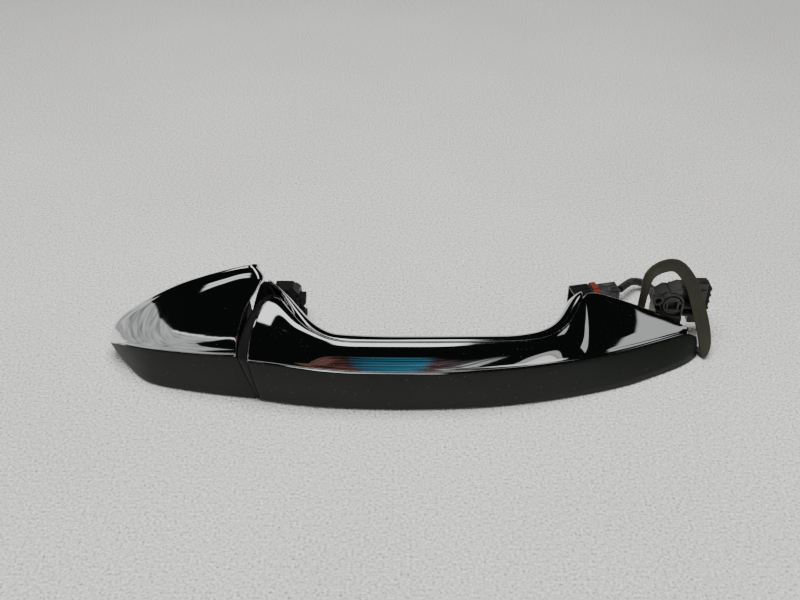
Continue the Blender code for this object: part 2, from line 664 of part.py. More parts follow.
def make_cap():
    rows = [cap_upper(station) for station in cap_stations(CAP_START, CAP_END)]
    shell_object("cap_chrome_trim", rows, CHROME, CAP)
    rows = [cap_lower(station) for station in cap_stations(CAP_START, CAP_END)]
    shell_object("cap_cover", rows, DARK_PAINT, CAP)
    rings = [cap_lower(s)[:-1] + cap_upper(s)[1:] for s in cap_stations(-122.5, -74)]
    body = add_object("cap_body", inset_loft(rings, CORE_INSET, lambda x: True), BLACK_PLASTIC, CAP)
    boolean(body, block(*CAP_SLEEVE, bevel=0.8), "UNION", CAP)
    boolean(body, block(*CAP_SLOT, bevel=0), "DIFFERENCE", CAP)
    clip = add_object("cap_clip", block(*CAP_CLIP, bevel=0), STEEL, CAP)
    low, high = CAP_CLIP
    inner = ((low[0] + 0.7, low[1] - 1, low[2] - 1), (high[0] - 0.7, high[1] - 0.7, high[2] + 1))
    boolean(clip, block(*inner, bevel=0), "DIFFERENCE", CAP)


clear_scene()
PARTS = new_collection("car_door_handle")
TOOLS = new_collection("cutters", hidden=True)

CHROME = make_material("chrome_plating", (0.72, 0.73, 0.74), 0.06, 1.0)
DARK_PAINT = make_material("dark_paint", (0.022, 0.025, 0.023), 0.35)
BLACK_PLASTIC = make_material("black_plastic", (0.018, 0.018, 0.018), 0.6)
GREY_PLASTIC = make_material("grey_moulding", (0.06, 0.062, 0.058), 0.6)
GLOSS_BLACK = make_material("gloss_black_plastic", (0.012, 0.012, 0.012), 0.25)
RED_PLASTIC = make_material("red_plastic", (0.45, 0.07, 0.02), 0.45)
RUBBER = make_material("black_rubber", (0.02, 0.02, 0.02), 0.8)
OLIVE_RUBBER = make_material("olive_rubber", (0.06, 0.06, 0.04), 0.75)
SLEEVE = make_material("braided_sleeve", (0.02, 0.02, 0.02), 0.7)
STEEL = make_material("zinc_steel", (0.5, 0.5, 0.48), 0.35, 1.0)
COPPER = make_material("copper", (0.72, 0.33, 0.16), 0.35, 1.0)
BRASS = make_material("brass", (0.7, 0.5, 0.2), 0.3, 1.0)
FERRITE = make_material("ferrite", (0.05, 0.05, 0.055), 0.7)
BOARD = make_material("circuit_board", (0.02, 0.14, 0.05), 0.5)

GRIP = make_empty("grip_axis", PIVOT)
CAP = make_empty("cap_base", (-90.0, 0.0, 0.0))
LOCK = make_empty("lock_axis", PLUG_FRONT)

make_grip_shells()
make_grip_core()
make_end_piece()
make_screws()
make_aerial()
make_board()
make_pivot_leg()
make_hook_leg()
make_lead()
make_connector()
make_gasket()
make_cap()
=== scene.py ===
"""Looks of the car door handle: chrome and painted shells, moulded legs, gasket, connector and lead.

Shapes are worked out in the handle frame, in millimetres: X runs from the cap's tip to the pivot end, Y from
the hand to the door, with the door's skin at Y = 0, and Z up. to_row() moves a point to the row frame.
"""

import json
import math

import bmesh
import bpy
import numpy as np
from mathutils import Matrix, Vector


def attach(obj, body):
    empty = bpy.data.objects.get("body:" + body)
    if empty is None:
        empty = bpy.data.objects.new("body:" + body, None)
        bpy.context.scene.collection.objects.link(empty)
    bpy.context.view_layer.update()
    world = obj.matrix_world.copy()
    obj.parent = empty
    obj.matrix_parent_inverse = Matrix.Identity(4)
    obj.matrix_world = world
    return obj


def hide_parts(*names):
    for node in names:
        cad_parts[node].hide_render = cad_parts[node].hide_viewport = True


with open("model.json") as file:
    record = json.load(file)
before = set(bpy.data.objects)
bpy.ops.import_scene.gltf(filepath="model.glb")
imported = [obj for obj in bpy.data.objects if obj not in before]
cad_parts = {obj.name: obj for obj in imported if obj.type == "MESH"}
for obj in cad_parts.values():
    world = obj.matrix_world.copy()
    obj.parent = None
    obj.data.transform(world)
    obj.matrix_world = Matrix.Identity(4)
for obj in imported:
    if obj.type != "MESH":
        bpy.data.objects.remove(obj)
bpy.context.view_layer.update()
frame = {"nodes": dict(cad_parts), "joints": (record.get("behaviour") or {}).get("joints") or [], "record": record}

MM = 0.001
PIVOT = Vector((139.7, 13.0, 18.0))  # the grip's axis in the handle frame
PULL = next(joint for joint in frame["joints"] if joint["name"] == "grip_pull")
SHIFT = Vector(PULL["pos_m"]) - PIVOT * MM

# Guide curves as rows of X, Y and Z, as the frame's own shells follow them.
GRIP_RIDGE = (
    (-66, -36.4, 22.7), (-54, -37.9, 22.3), (-41, -40.2, 21.8), (-16, -42.3, 21.2), (12, -42.3, 20.8),
    (42, -39.2, 20.2), (76, -30.7, 18.2), (95, -22.9, 16.6), (115, -12.7, 14.6), (128, -5.4, 12.9),
    (131, -3.9, 12.2), (135, -2.4, 8.4),
)
GRIP_SEAM = (
    (-66, 0.2, 34.3), (-54, -1.8, 32.2), (-47.5, -12.4, 31.2), (-42.5, -20.2, 30.3), (-36, -27.0, 29.6),
    (-29, -30.9, 29.1), (-20, -32.3, 28.8), (15, -32.2, 28.5), (50, -31.2, 28.5), (58, -30.2, 28.7),
    (64, -27.9, 29.0), (69, -24.1, 29.4), (73, -19.8, 29.9), (76, -13.6, 30.4), (79, -7.0, 31.2),
    (82.5, -1.2, 31.9), (98, -0.6, 27.3), (112, -0.9, 21.8), (122, -1.4, 17.6), (131, -3.0, 13.0),
)
GRIP_FOOT = (
    (-66, -36.3, 1.0), (-51, -39.5, 1.0), (-30, -42.4, 1.0), (0, -43.7, 1.0), (30, -42.7, 1.0),
    (56, -39.5, 1.0), (78, -34.7, 1.0), (96, -29.5, 1.0), (115, -21.1, 1.0), (127, -14.4, 1.0),
    (131, -11.6, 1.1), (135, -7.4, 1.6),
)
GRIP_CREST = (
    (-66, 0.0, 40.0), (-57, -0.4, 38.0), (-52.5, -2.6, 34.6), (-48, -7.6, 32.6), (-43, -14.5, 31.0),
    (-38, -20.8, 29.9), (-33, -25.5, 29.3), (-27, -28.6, 29.0), (0, -29.8, 28.6), (45, -29.3, 28.6),
    (57, -27.4, 28.9), (63.5, -24.6, 29.2), (68, -21.0, 29.6), (71.5, -16.5, 30.1), (74, -10.5, 30.6),
    (77, -3.6, 31.3), (80, -0.9, 32.0), (84, -0.5, 31.8),
)
GRIP_BACK = (
    (-66, 0.0, 0), (-52, -0.3, 0), (-49, -2.4, 0), (-45, -7.6, 0), (-40, -14.6, 0), (-34, -21.0, 0),
    (-27, -24.6, 0), (0, -25.6, 0), (45, -25.2, 0), (56, -23.6, 0), (63, -20.0, 0), (67.5, -15.2, 0),
    (71, -8.6, 0), (74, -2.4, 0), (77, -0.2, 0), (84, 0.0, 0),
)
CAP_RIDGE = (
    (-131.4, -5.0, 8.1), (-128.6, -8.3, 10.1), (-124, -13.0, 13.3), (-119, -17.2, 15.7), (-107, -24.4, 19.3),
    (-98, -27.7, 20.8), (-80, -31.7, 22.2), (-57, -34.3, 23.4),
)
CAP_RIM = (
    (-131.4, -4.0, 8.8), (-130.4, -3.7, 12.4), (-125.4, -2.9, 17.8), (-120.5, -2.3, 21.6), (-106, -1.6, 30.8),
    (-96.5, -1.3, 35.5), (-87, -1.1, 39.1), (-78, -1.0, 42.0), (-66.7, -0.9, 45.0), (-57, -0.9, 46.0),
)
CAP_FOOT = (
    (-131.4, -4.6, 6.7), (-128.6, -8.3, 4.8), (-126, -11.2, 3.7), (-120, -17.4, 1.9), (-115, -22.6, 1.1),
    (-110, -26.2, 1.0), (-96, -30.5, 1.0), (-78, -34.1, 1.0), (-57, -37.4, 1.0),
)

GRIP_START, TRIM_END, COVER_END, SHOULDER_END = -54.0, 130.0, 134.5, 80.0
CAP_START, CAP_END = -131.0, -57.5
SHELL = 1.1
RIM_BULGE = 0.25
LIP = 0.55
LIP_GAP = 0.25
SEAM_GAP = 0.38

# The lead's route, as the frame's own lead follows it.
LEAD_DIAMETER = 3.8
LEAD_ROUTE = (
    (118.0, 16.5, 17.0), (118.1, 19.8, 16.7), (119.2, 23.8, 14.4), (121.6, 28.0, 10.4), (124.2, 31.9, 6.3),
    (125.9, 35.8, 3.4), (126.0, 40.2, 2.3), (123.4, 44.2, 3.0), (119.2, 45.9, 4.4), (114.8, 44.3, 5.9),
    (111.2, 40.4, 7.0), (107.2, 36.1, 7.2),
)
LEAD_POINTS = 30

# The connector's front and its turn: its own X runs back along it.
PLUG_PLACE = Matrix.Translation((82.6, 30.6, 5.3)) @ Matrix.Rotation(math.radians(12.5), 4, "Z")

# The loose gasket's centre line with the band's width, as the frame's own gasket follows it.
GASKET_LOOP = (
    (110.8, 8.4, 25.0, 3.6), (112.2, 10.0, 33.0, 4.6), (117.6, 11.2, 37.0, 5.6), (124.2, 10.8, 37.8, 5.8),
    (129.8, 7.8, 32.4, 5.8), (133.0, 5.2, 25.5, 6.2), (135.6, 2.4, 18.0, 6.4), (137.6, -1.4, 11.0, 6.0),
    (138.2, -5.4, 5.2, 5.2), (136.8, -8.0, 2.4, 3.6), (134.8, -2.4, 1.7, 2.4), (130.0, 4.0, 1.7, 2.4),
    (120.0, 6.0, 1.8, 2.4), (112.6, 6.4, 4.6, 2.8), (110.0, 7.0, 13.0, 3.2),
)

# The band's section, with a bead along each edge: share of its half width, and depth in mm.
GASKET_SECTION = (
    (1, 0.55), (0.93, 0.85), (0.8, 0.85), (0.6, 0.6), (-0.6, 0.6), (-0.8, 0.85), (-0.93, 0.85), (-1, 0.55),
    (-1, -0.55), (-0.93, -0.85), (0.93, -0.85), (1, -0.55),
)

CAMERA_PLACE = (0.0, -347.7, 279.4)
CAMERA_PITCH = math.radians(54.0)
CAMERA_LENS = 43.47
FLOOR_HALF = 2.4  # metres


def to_row(point):
    return Vector(point) * MM + SHIFT


# ---------------------------------------------------------------- camera and cords first

def make_camera():
    data = bpy.data.cameras.new("camera")
    data.sensor_width = 36.0
    data.lens = CAMERA_LENS
    data.clip_start = 0.01
    camera = bpy.data.objects.new("camera", data)
    camera.location = to_row(CAMERA_PLACE)
    camera.rotation_euler = (CAMERA_PITCH, 0.0, 0.0)
    bpy.context.scene.collection.objects.link(camera)
    bpy.context.scene.camera = camera


def on_spline(p0, p1, p2, p3, t):
    """Point between p1 and p2 on a Catmull-Rom curve through four points."""
    linear = (p2 - p0) * t + (2 * p0 - 5 * p1 + 4 * p2 - p3) * t**2
    return (2 * p1 + linear + (3 * p1 - p0 - 3 * p2 + p3) * t**3) / 2


def smooth_route(points, count):
    """Evenly spaced points on one smooth curve through the route's own points."""
    points = [Vector(point) for point in points]
    points = [2 * points[0] - points[1]] + points + [2 * points[-1] - points[-2]]
    spans = range(1, len(points) - 2)
    fine = [on_spline(*points[i - 1:i + 3], step / 12) for i in spans for step in range(12)]
    fine.append(points[-2])
    lengths = np.concatenate([[0.0], np.cumsum([(b - a).length for a, b in zip(fine, fine[1:])])])
    wanted = np.linspace(0.0, lengths[-1], count)
    axes = [np.interp(wanted, lengths, [point[axis] for point in fine]) for axis in range(3)]
    return [Vector(place) for place in zip(*axes)]


def make_tube(name, route, diameter, material):
    """Curve tube in the handle frame through the route."""
    data = bpy.data.curves.new(name, "CURVE")
    data.dimensions = "3D"
    data.bevel_depth = diameter / 2 * MM
    data.bevel_resolution = 5
    data.use_fill_caps = True
    spline = data.splines.new("POLY")
    spline.points.add(len(route) - 1)
    for point, place in zip(spline.points, route):
        point.co = (*to_row(place), 1.0)
    spline.use_smooth = True
    data.materials.append(material)
    tube = bpy.data.objects.new(name, data)
    bpy.context.scene.collection.objects.link(tube)
    return tube


# ---------------------------------------------------------------- materials

class Nodes:
    """Short way to build a node tree."""

    def __init__(self, tree):
        self.tree = tree

    def add(self, kind, inputs=None, **settings):
        node = self.tree.nodes.new(kind)
        for name, value in settings.items():
            setattr(node, name, value)
        for key, value in (inputs or {}).items():
            if isinstance(value, bpy.types.NodeSocket):
                self.tree.links.new(value, node.inputs[key])
            else:
                node.inputs[key].default_value = value
        return node

    def noise(self, vector, scale, detail=3.0, roughness=0.5):
        inputs = {"Vector": vector, "Scale": scale, "Detail": detail, "Roughness": roughness}
        return self.add("ShaderNodeTexNoise", inputs).outputs["Fac"]

    def ramp(self, value, *stops):
        """Colour ramp through (position, grey or colour) stops."""
        node = self.add("ShaderNodeValToRGB", {"Fac": value})
        elements = node.color_ramp.elements
        while len(elements) < len(stops):
            elements.new(0.5)
        for element, (position, colour) in zip(elements, stops):
            colour = (colour, colour, colour) if isinstance(colour, (int, float)) else colour
            element.position = position
            element.color = (*colour, 1.0)
        return node.outputs["Color"]

    def math(self, operation, first, second=0.0, third=0.0, clamp=False):
        node = self.add("ShaderNodeMath", {0: first, 1: second, 2: third}, operation=operation)
        node.use_clamp = clamp
        return node.outputs[0]

    def mix(self, factor, first, second, blend="MIX"):
        node = self.add("ShaderNodeMix", data_type="RGBA", blend_type=blend)
        for index, value in ((0, factor), (6, first), (7, second)):
            if isinstance(value, bpy.types.NodeSocket):
                self.tree.links.new(value, node.inputs[index])
            else:
                node.inputs[index].default_value = value
        return node.outputs[2]

    def bump(self, height, strength, distance):
        inputs = {"Height": height, "Strength": strength, "Distance": distance}
        return self.add("ShaderNodeBump", inputs).outputs["Normal"]

    def mapped(self, vector, **settings):
        return self.add("ShaderNodeMapping", {"Vector": vector, **settings}).outputs[0]

    def surface(self, **outputs):
        """Links outputs to the Principled shader's sockets, each named with _ for a space."""
        for name, output in outputs.items():
            self.tree.links.new(output, self.tree.nodes["Principled BSDF"].inputs[name.replace("_", " ")])


def new_material(name, colour, roughness, metallic=0.0, **sockets):
    """(material, Nodes, object coordinates) with plain values on the shader."""
    material = bpy.data.materials.new(name)
    material.use_nodes = True
    nodes = Nodes(material.node_tree)
    shader = material.node_tree.nodes["Principled BSDF"]
    shader.inputs["Base Color"].default_value = (*colour, 1.0)
    shader.inputs["Roughness"].default_value = roughness
    shader.inputs["Metallic"].default_value = metallic
    for key, value in sockets.items():
        shader.inputs[key.replace("_", " ")].default_value = value
    vector = nodes.add("ShaderNodeTexCoord").outputs["Object"]
    return material, nodes, vector


def grain_material(name, colour, roughness, scale, depth, spread=0.12, **sockets):
    """Moulded surface: mottled colour, uneven gloss and a fine bump at a scale in mm."""
    material, nodes, vector = new_material(name, colour, roughness, **sockets)
    mottle = nodes.noise(vector, 90.0, 4.0)
    light = tuple(min(1.0, part * (1 + 2.2 * spread) + 0.012 * spread) for part in colour)
    dark = tuple(part * (1 - spread) for part in colour)
    fine = nodes.noise(vector, 1000.0 / scale, 2.0)
    nodes.surface(Base_Color=nodes.ramp(mottle, (0.3, dark), (0.7, light)),
                  Roughness=nodes.ramp(mottle, (0.3, roughness * 0.88), (0.7, min(1.0, roughness * 1.1))),
                  Normal=nodes.bump(fine, 0.6, depth * MM))
    return material


def chrome_material():
    """Bright plating with faint handling haze, dust specks and a very slight waviness."""
    material, nodes, vector = new_material("chrome_skin", (0.83, 0.84, 0.85), 0.035, 1.0)
    cells = nodes.add("ShaderNodeTexVoronoi", {"Vector": vector, "Scale": 1100.0}, feature="F1")
    near = nodes.math("LESS_THAN", cells.outputs["Distance"], 0.13)
    chosen = nodes.math("GREATER_THAN", nodes.noise(vector, 38.0, 3.0), 0.53)
    keep = nodes.math("GREATER_THAN", cells.outputs["Color"], 0.62)
    dust = nodes.math("MULTIPLY", nodes.math("MULTIPLY", near, chosen), keep)
    haze = nodes.ramp(nodes.noise(vector, 55.0, 5.0, 0.6), (0.45, 0.028), (0.8, 0.085))
    tint = nodes.ramp(nodes.noise(vector, 24.0, 2.0), (0.3, (0.80, 0.815, 0.83)), (0.7, (0.86, 0.865, 0.87)))
    nodes.surface(Base_Color=nodes.mix(dust, tint, (0.5, 0.5, 0.49, 1.0)),
                  Roughness=nodes.mix(dust, haze, (0.55, 0.55, 0.55, 1.0)),
                  Normal=nodes.bump(nodes.noise(vector, 160.0, 1.0), 0.12, 0.00004))
    return material


def paint_material():
    """Dark grey satin paint with a fine flake and a few dust specks."""
    settings = {"Specular_IOR_Level": 0.2}
    material, nodes, vector = new_material("dark_paint_skin", (0.019, 0.021, 0.019), 0.42, **settings)
    flake = nodes.noise(vector, 2600.0, 1.0)
    broad = nodes.noise(vector, 22.0, 3.0)
    base = nodes.ramp(broad, (0.3, (0.0080, 0.0100, 0.0078)), (0.7, (0.0112, 0.0134, 0.0108)))
    base = nodes.mix(1.0, base, nodes.ramp(flake, (0.62, 0.0), (0.8, 0.018)), "ADD")
    cells = nodes.add("ShaderNodeTexVoronoi", {"Vector": vector, "Scale": 300.0}, feature="F1")
    speck = nodes.math("MULTIPLY", nodes.math("LESS_THAN", cells.outputs["Distance"], 0.09), 0.35)
    nodes.surface(Base_Color=nodes.mix(speck, base, (0.12, 0.12, 0.11, 1.0)),
                  Roughness=nodes.ramp(broad, (0.3, 0.38), (0.7, 0.47)),
                  Normal=nodes.bump(flake, 0.15, 0.00003))
    return material


def rubber_material(name, colour, roughness=0.72):
    """Soft rubber: cloudy colour, pale dust in patches and a fine open skin."""
    material, nodes, vector = new_material(name, colour, roughness, Specular_IOR_Level=0.3)
    cloud = nodes.noise(vector, 60.0, 5.0, 0.6)
    pale = tuple(part * 1.7 + 0.01 for part in colour)
    dark = tuple(part * 0.75 for part in colour)
    nodes.surface(Base_Color=nodes.ramp(cloud, (0.28, dark), (0.6, colour), (0.85, pale)),
                  Roughness=nodes.ramp(cloud, (0.3, roughness - 0.08), (0.7, roughness + 0.1)),
                  Normal=nodes.bump(nodes.noise(vector, 1500.0, 3.0, 0.6), 0.5, 0.00012))
    return material


def sleeve_material():
    """Woven sleeve: crossed threads along and round the lead."""
    material, nodes, vector = new_material("sleeve_skin", (0.016, 0.016, 0.016), 0.62)
    threads = []
    for turn in ((0.4, 0.7, 0.8), (-0.6, -0.5, -0.8)):
        inputs = {"Vector": nodes.mapped(vector, Rotation=turn), "Scale": 420.0, "Distortion": 1.0}
        threads.append(nodes.add("ShaderNodeTexWave", inputs).outputs["Fac"])
    weave = nodes.math("MAXIMUM", *threads)
    nodes.surface(Base_Color=nodes.ramp(weave, (0.3, 0.008), (0.9, 0.035)),
                  Roughness=nodes.ramp(weave, (0.3, 0.8), (0.9, 0.55)),
                  Normal=nodes.bump(weave, 0.7, 0.0002))
    return material


def metal_material(name, colour, roughness, scale=900.0):
    """Bare metal with fine brushed scratches and uneven tarnish."""
    material, nodes, vector = new_material(name, colour, roughness, 1.0)
    scratch = nodes.noise(nodes.mapped(vector, Scale=(0.08, 1.0, 1.0)), scale, 3.0)
    dark = tuple(part * 0.7 for part in colour)
    nodes.surface(Base_Color=nodes.ramp(nodes.noise(vector, 120.0, 4.0), (0.3, dark), (0.65, colour)),
                  Roughness=nodes.ramp(scratch, (0.3, roughness * 0.8), (0.7, roughness * 1.3)),
                  Normal=nodes.bump(scratch, 0.3, 0.00005))
    return material


def board_material():
    """Green lacquered board with paler copper tracks under the lacquer."""
    material, nodes, vector = new_material("board_skin", (0.02, 0.13, 0.05), 0.35)
    inputs = {"Vector": vector, "Scale": 130.0, "Mortar Size": 0.03, "Color1": (0.018, 0.12, 0.045, 1.0),
              "Color2": (0.022, 0.15, 0.055, 1.0), "Mortar": (0.05, 0.26, 0.09, 1.0)}
    brick = nodes.add("ShaderNodeTexBrick", inputs)
    nodes.surface(Base_Color=brick.outputs["Color"], Normal=nodes.bump(brick.outputs["Fac"], 0.4, 0.00005))
    return material


def worn_material():
    """Dark grey moulding rubbed pale in blotches, as the connector's rear cover is."""
    material, nodes, vector = new_material("worn_moulding_skin", (0.035, 0.034, 0.033), 0.55)
    blotch = nodes.noise(vector, 480.0, 5.0, 0.65)
    nodes.surface(Base_Color=nodes.ramp(blotch, (0.35, 0.012), (0.5, 0.03), (0.62, 0.085), (0.72, 0.03)),
                  Roughness=nodes.ramp(blotch, (0.35, 0.4), (0.65, 0.7)),
                  Normal=nodes.bump(blotch, 0.5, 0.00015))
    return material


# ---------------------------------------------------------------- surfaces

def on_curve(rows, x, column):
    """A column's value at x, on a monotone cubic through the rows."""
    last = len(rows) - 1
    x = min(max(x, rows[0][0]), rows[last][0])
    i = 0
    while i < last - 1 and x > rows[i + 1][0]:
        i += 1
    steps = [rows[j + 1][0] - rows[j][0] for j in range(last)]
    rises = [(rows[j + 1][column] - rows[j][column]) / steps[j] for j in range(last)]

    def tangent(j):
        if j == 0:
            return rises[0]
        if j == last:
            return rises[last - 1]
        if rises[j - 1] * rises[j] <= 0.0:
            return 0.0
        before = 2 * steps[j] + steps[j - 1]
        after = steps[j] + 2 * steps[j - 1]
        return (before + after) / (before / rises[j - 1] + after / rises[j])

    t = (x - rows[i][0]) / steps[i]
    low, high = rows[i][column], rows[i + 1][column]
    curve = (2 * t**3 - 3 * t**2 + 1) * low + (3 * t**2 - 2 * t**3) * high
    curve += (t**3 - 2 * t**2 + t) * steps[i] * tangent(i)
    curve += (t**3 - t**2) * steps[i] * tangent(i + 1)
    return curve


def smoothed(values, width):
    """Values with a Gaussian blur of that many samples, keeping the ends and their slopes."""
    reach = int(3 * width) + 1
    kernel = np.exp(-0.5 * (np.arange(-reach, reach + 1) / width) ** 2)
    kernel /= kernel.sum()
    before = 2 * values[0] - values[reach:0:-1]
    after = 2 * values[-1] - values[-2:-reach - 2:-1]
    return np.convolve(np.concatenate([before, values, after]), kernel, "valid")


class Guide:
    """Smooth guide curve: Y and Z at any X."""

    def __init__(self, rows, softness):
        self.xs = np.arange(rows[0][0], rows[-1][0] + 0.125, 0.25)
        self.ys = smoothed(np.array([on_curve(rows, x, 1) for x in self.xs]), softness / 0.25)
        self.zs = smoothed(np.array([on_curve(rows, x, 2) for x in self.xs]), softness / 0.25)

    def __call__(self, x):
        return Vector((float(np.interp(x, self.xs, self.ys)), float(np.interp(x, self.xs, self.zs))))


def ease(value, start, end):
    """0 at start, 1 at end, smooth between."""
    t = min(max((value - start) / (end - start), 0.0), 1.0)
    return t * t * (3 - 2 * t)


def at(x, flat):
    return Vector((x, flat.x, flat.y))


BEND_SHARES = np.linspace(0.0, 1.0, 61)


def bent_line(low, high, bend, share):
    """Point at a share of the way between two YZ points, on a curve that stands off their chord by bend."""
    chord = high - low
    across = Vector((-chord.y, chord.x))
    return low + chord * share + across * float(np.interp(share, BEND_SHARES, bend))


def between(rows, shares):
    """Values at shares, on straight lines through (share, value) rows."""
    return np.interp(shares, [row[0] for row in rows], [row[1] for row in rows])


def bend_profile(rows):
    """Height over the chord, as a share of its length, from (share, degrees of extra slope) rows."""
    slopes = np.tan(np.radians(between(rows, BEND_SHARES)))
    slopes = smoothed(slopes, 2.5)
    heights = np.concatenate([[0.0], np.cumsum((slopes[1:] + slopes[:-1]) / 2) / 60])
    return heights - BEND_SHARES * heights[-1]


def unit(vectors):
    return vectors / np.maximum(np.linalg.norm(vectors, axis=-1, keepdims=True), 1e-9)


def skin(work, rings, closed=False):
    """Adds and returns the faces between neighbouring rings of vertices."""
    count = len(rings[0])
    faces = []
    for here, following in zip(rings, rings[1:] + rings[:1] if closed else rings[1:]):
        for i in range(count):
            j = (i + 1) % count
            faces.append(work.faces.new((here[i], following[i], following[j], here[j])))
    return faces


def shell_ring(outer, inner, bulge):
    """One section of a shell as a closed ring, with both of its rims rounded."""
    def rim(first, last, before):
        middle, half = (first + last) / 2, (first - last) / 2
        onward = unit(first - before)
        turns = [math.radians(angle) for angle in (40, 90, 140)]
        return [middle + half * math.cos(turn) + onward * bulge * math.sin(turn) for turn in turns]

    far = rim(outer[-1], inner[-1], outer[-2])
    near = rim(inner[0], outer[0], inner[1])
    return [*outer, *far, *inner[::-1], *near]


def grid_object(name, rows, material, flip=False):
    """Shell of even wall with rounded rims under an open surface of points in the handle frame."""
    outer = np.array([[tuple(point) for point in row] for row in rows])
    normals = unit(np.cross(np.gradient(outer, axis=0), np.gradient(outer, axis=1)))
    inner = outer + normals * (SHELL if flip else -SHELL)
    middle, half = (outer + inner) / 2, (outer - inner) / 2
    first, last = unit(outer[0] - outer[1]), unit(outer[-1] - outer[-2])
    rings = [shell_ring(a, b, RIM_BULGE) for a, b in zip(outer, inner)]
    for angle in (35, 65, 85):
        turn = math.radians(angle)
        for end, onward in ((0, first), (-1, last)):
            centre = middle[end] + onward * RIM_BULGE * math.sin(turn)
            reach = half[end] * math.cos(turn)
            ring = shell_ring(centre + reach, centre - reach, RIM_BULGE * math.cos(turn))
            rings.insert(0 if end == 0 else len(rings), ring)
    work = bmesh.new()
    verts = [[work.verts.new(to_row(place)) for place in ring] for ring in rings]
    wide = outer.shape[1]
    faces = skin(work, verts)
    for ring in (verts[0], verts[-1]):
        back = ring[wide + 3:2 * wide + 3][::-1]
        for i in range(wide - 1):
            faces.append(work.faces.new((ring[i], ring[i + 1], back[i + 1], back[i])))
        faces.append(work.faces.new(ring[wide - 1:wide + 4]))
        faces.append(work.faces.new([*ring[2 * wide + 2:], ring[0]]))
    bmesh.ops.recalc_face_normals(work, faces=faces)
    return finish_mesh(name, work, material, 60.0)


def finish_mesh(name, work, material, smooth=40.0):
    mesh = bpy.data.meshes.new(name)
    work.to_mesh(mesh)
    work.free()
    mesh.materials.append(material)
    mesh.shade_smooth()
    mesh.set_sharp_from_angle(angle=math.radians(smooth))
    obj = bpy.data.objects.new(name, mesh)
    bpy.context.scene.collection.objects.link(obj)
    return obj


def spaced(start, end, step):
    count = max(2, round((end - start) / step))
    return [start + (end - start) * i / count for i in range(count + 1)]


def corner_arc(corner, before, after, size, steps=5):
    """Round corner between two directions, as points from before to after."""
    first, last = corner + before * size, corner + after * size
    points = []
    for i in range(steps + 1):
        t = i / steps
        points.append(first * (1 - t) ** 2 + corner * 2 * t * (1 - t) + last * t**2)
    return points


# Smooth guides of the visible shells.
RIDGE = Guide(GRIP_RIDGE, 3.0)
SEAM = Guide(GRIP_SEAM, 1.6)
FOOT = Guide(GRIP_FOOT, 3.0)
CREST = Guide(GRIP_CREST, 1.6)
BACK = Guide(GRIP_BACK, 1.4)
CAP_RIDGE_LINE = Guide(CAP_RIDGE, 1.6)
CAP_RIM_LINE = Guide(CAP_RIM, 1.6)
CAP_FOOT_LINE = Guide(CAP_FOOT, 1.2)

GRIP_BEND = bend_profile(((0.0, 17.0), (0.33, 10.0), (0.6, 0.0), (0.8, -14.0), (1.0, -32.0)))
TIP_BEND = bend_profile(((0.0, 5.0), (0.35, 2.0), (0.8, -2.0), (1.0, -4.0)))
CAP_BEND = bend_profile(((0.0, 22.0), (0.2, 10.0), (0.5, 0.0), (0.85, -7.0), (1.0, -22.0)))


# How far the grip's end leans towards the cap at its ridge and at its foot.
RIDGE_LEAN, FOOT_LEAN = -9.5, -6.0
# The slight crown of the pivot end's face: its height, middle and half length.
CROWN, CROWN_MIDDLE, CROWN_REACH = 0.4, 104.0, 24.0


def grip_slant(station, full):
    """X of a point on a station, leaned towards the cap near the grip's end."""
    return station + full * ease(-station, 22.0, -GRIP_START)


def grip_trim_section(station):
    """Chrome upper: lip under the ridge, rounded ridge, crowned face and rolled seam edge."""
    x = grip_slant(station, RIDGE_LEAN)
    ridge, foot = RIDGE(x), FOOT(x)
    down = (foot - ridge).normalized()
    up = (SEAM(x) - ridge).normalized()
    chord = (SEAM(x) - ridge).length
    size = min(0.5, 0.3 * chord)
    flat = [ridge + down * (LIP - 0.15)] + corner_arc(ridge, down, up, size)
    points = [at(x, place) for place in flat]
    open_end = ease(station, 60.0, 84.0)
    bend = GRIP_BEND * (1 - open_end) + TIP_BEND * open_end
    for share in np.linspace(size / chord + 0.03, 1.0, 30):
        x = grip_slant(station, RIDGE_LEAN * (1 - share**2))
        low, high = RIDGE(x), SEAM(x)
        inset = SEAM_GAP / max((high - low).length, 1.0)
        spot = at(x, bent_line(low, high, bend, share * (1 - inset)))
        spot.z += CROWN * max(0.0, 1 - ((x - CROWN_MIDDLE) / CROWN_REACH) ** 2) * min(1.0, share * 4)
        points.append(spot)
    return points


def cover_front(station, slant, leans, ridge_line, foot_line, fullness):
    """Painted face from the lip's gap down to where the foot's rounding starts."""
    points = []
    for share in np.linspace(0.0, 1.0, 14):
        x = slant(station, leans[0] + (leans[1] - leans[0]) * share)
        ridge, foot = ridge_line(x), foot_line(x)
        reach = (foot - ridge).length
        start = min(LIP + LIP_GAP, 0.45 * reach) / reach
        end = 1 - min(2.2, 0.3 * reach) / reach
        along = start + (end - start) * share
        outward = Vector((-(foot - ridge).y, (foot - ridge).x)).normalized()
        bulge = -fullness * 4 * along * (1 - along)
        points.append(at(x, ridge + (foot - ridge) * along + outward * bulge))
    return points


def grip_cover_section(station):
    """Grip's painted face: from the lip's gap down the front, round the foot and under."""
    points = cover_front(station, grip_slant, (RIDGE_LEAN, FOOT_LEAN), RIDGE, FOOT, 0.55)
    x = grip_slant(station, FOOT_LEAN)
    foot = FOOT(x)
    depth = min(1.0, max(0.25, -foot.x / 22.0))
    corner = Vector((foot.x, foot.y - 1.0))
    up = (RIDGE(x) - foot).normalized()
    for place in corner_arc(corner, up, Vector((1.0, 0.0)), min(2.2, 2.2 * depth), 6)[1:]:
        points.append(at(x, place))
    points.append(at(x, Vector((foot.x + 4.2 * depth, foot.y - 1.0))))
    points.append(at(x, Vector((foot.x + 6.5 * depth, foot.y - 1.0))))
    return points


HEEL = 3.2  # radius of the finger side's lower edge


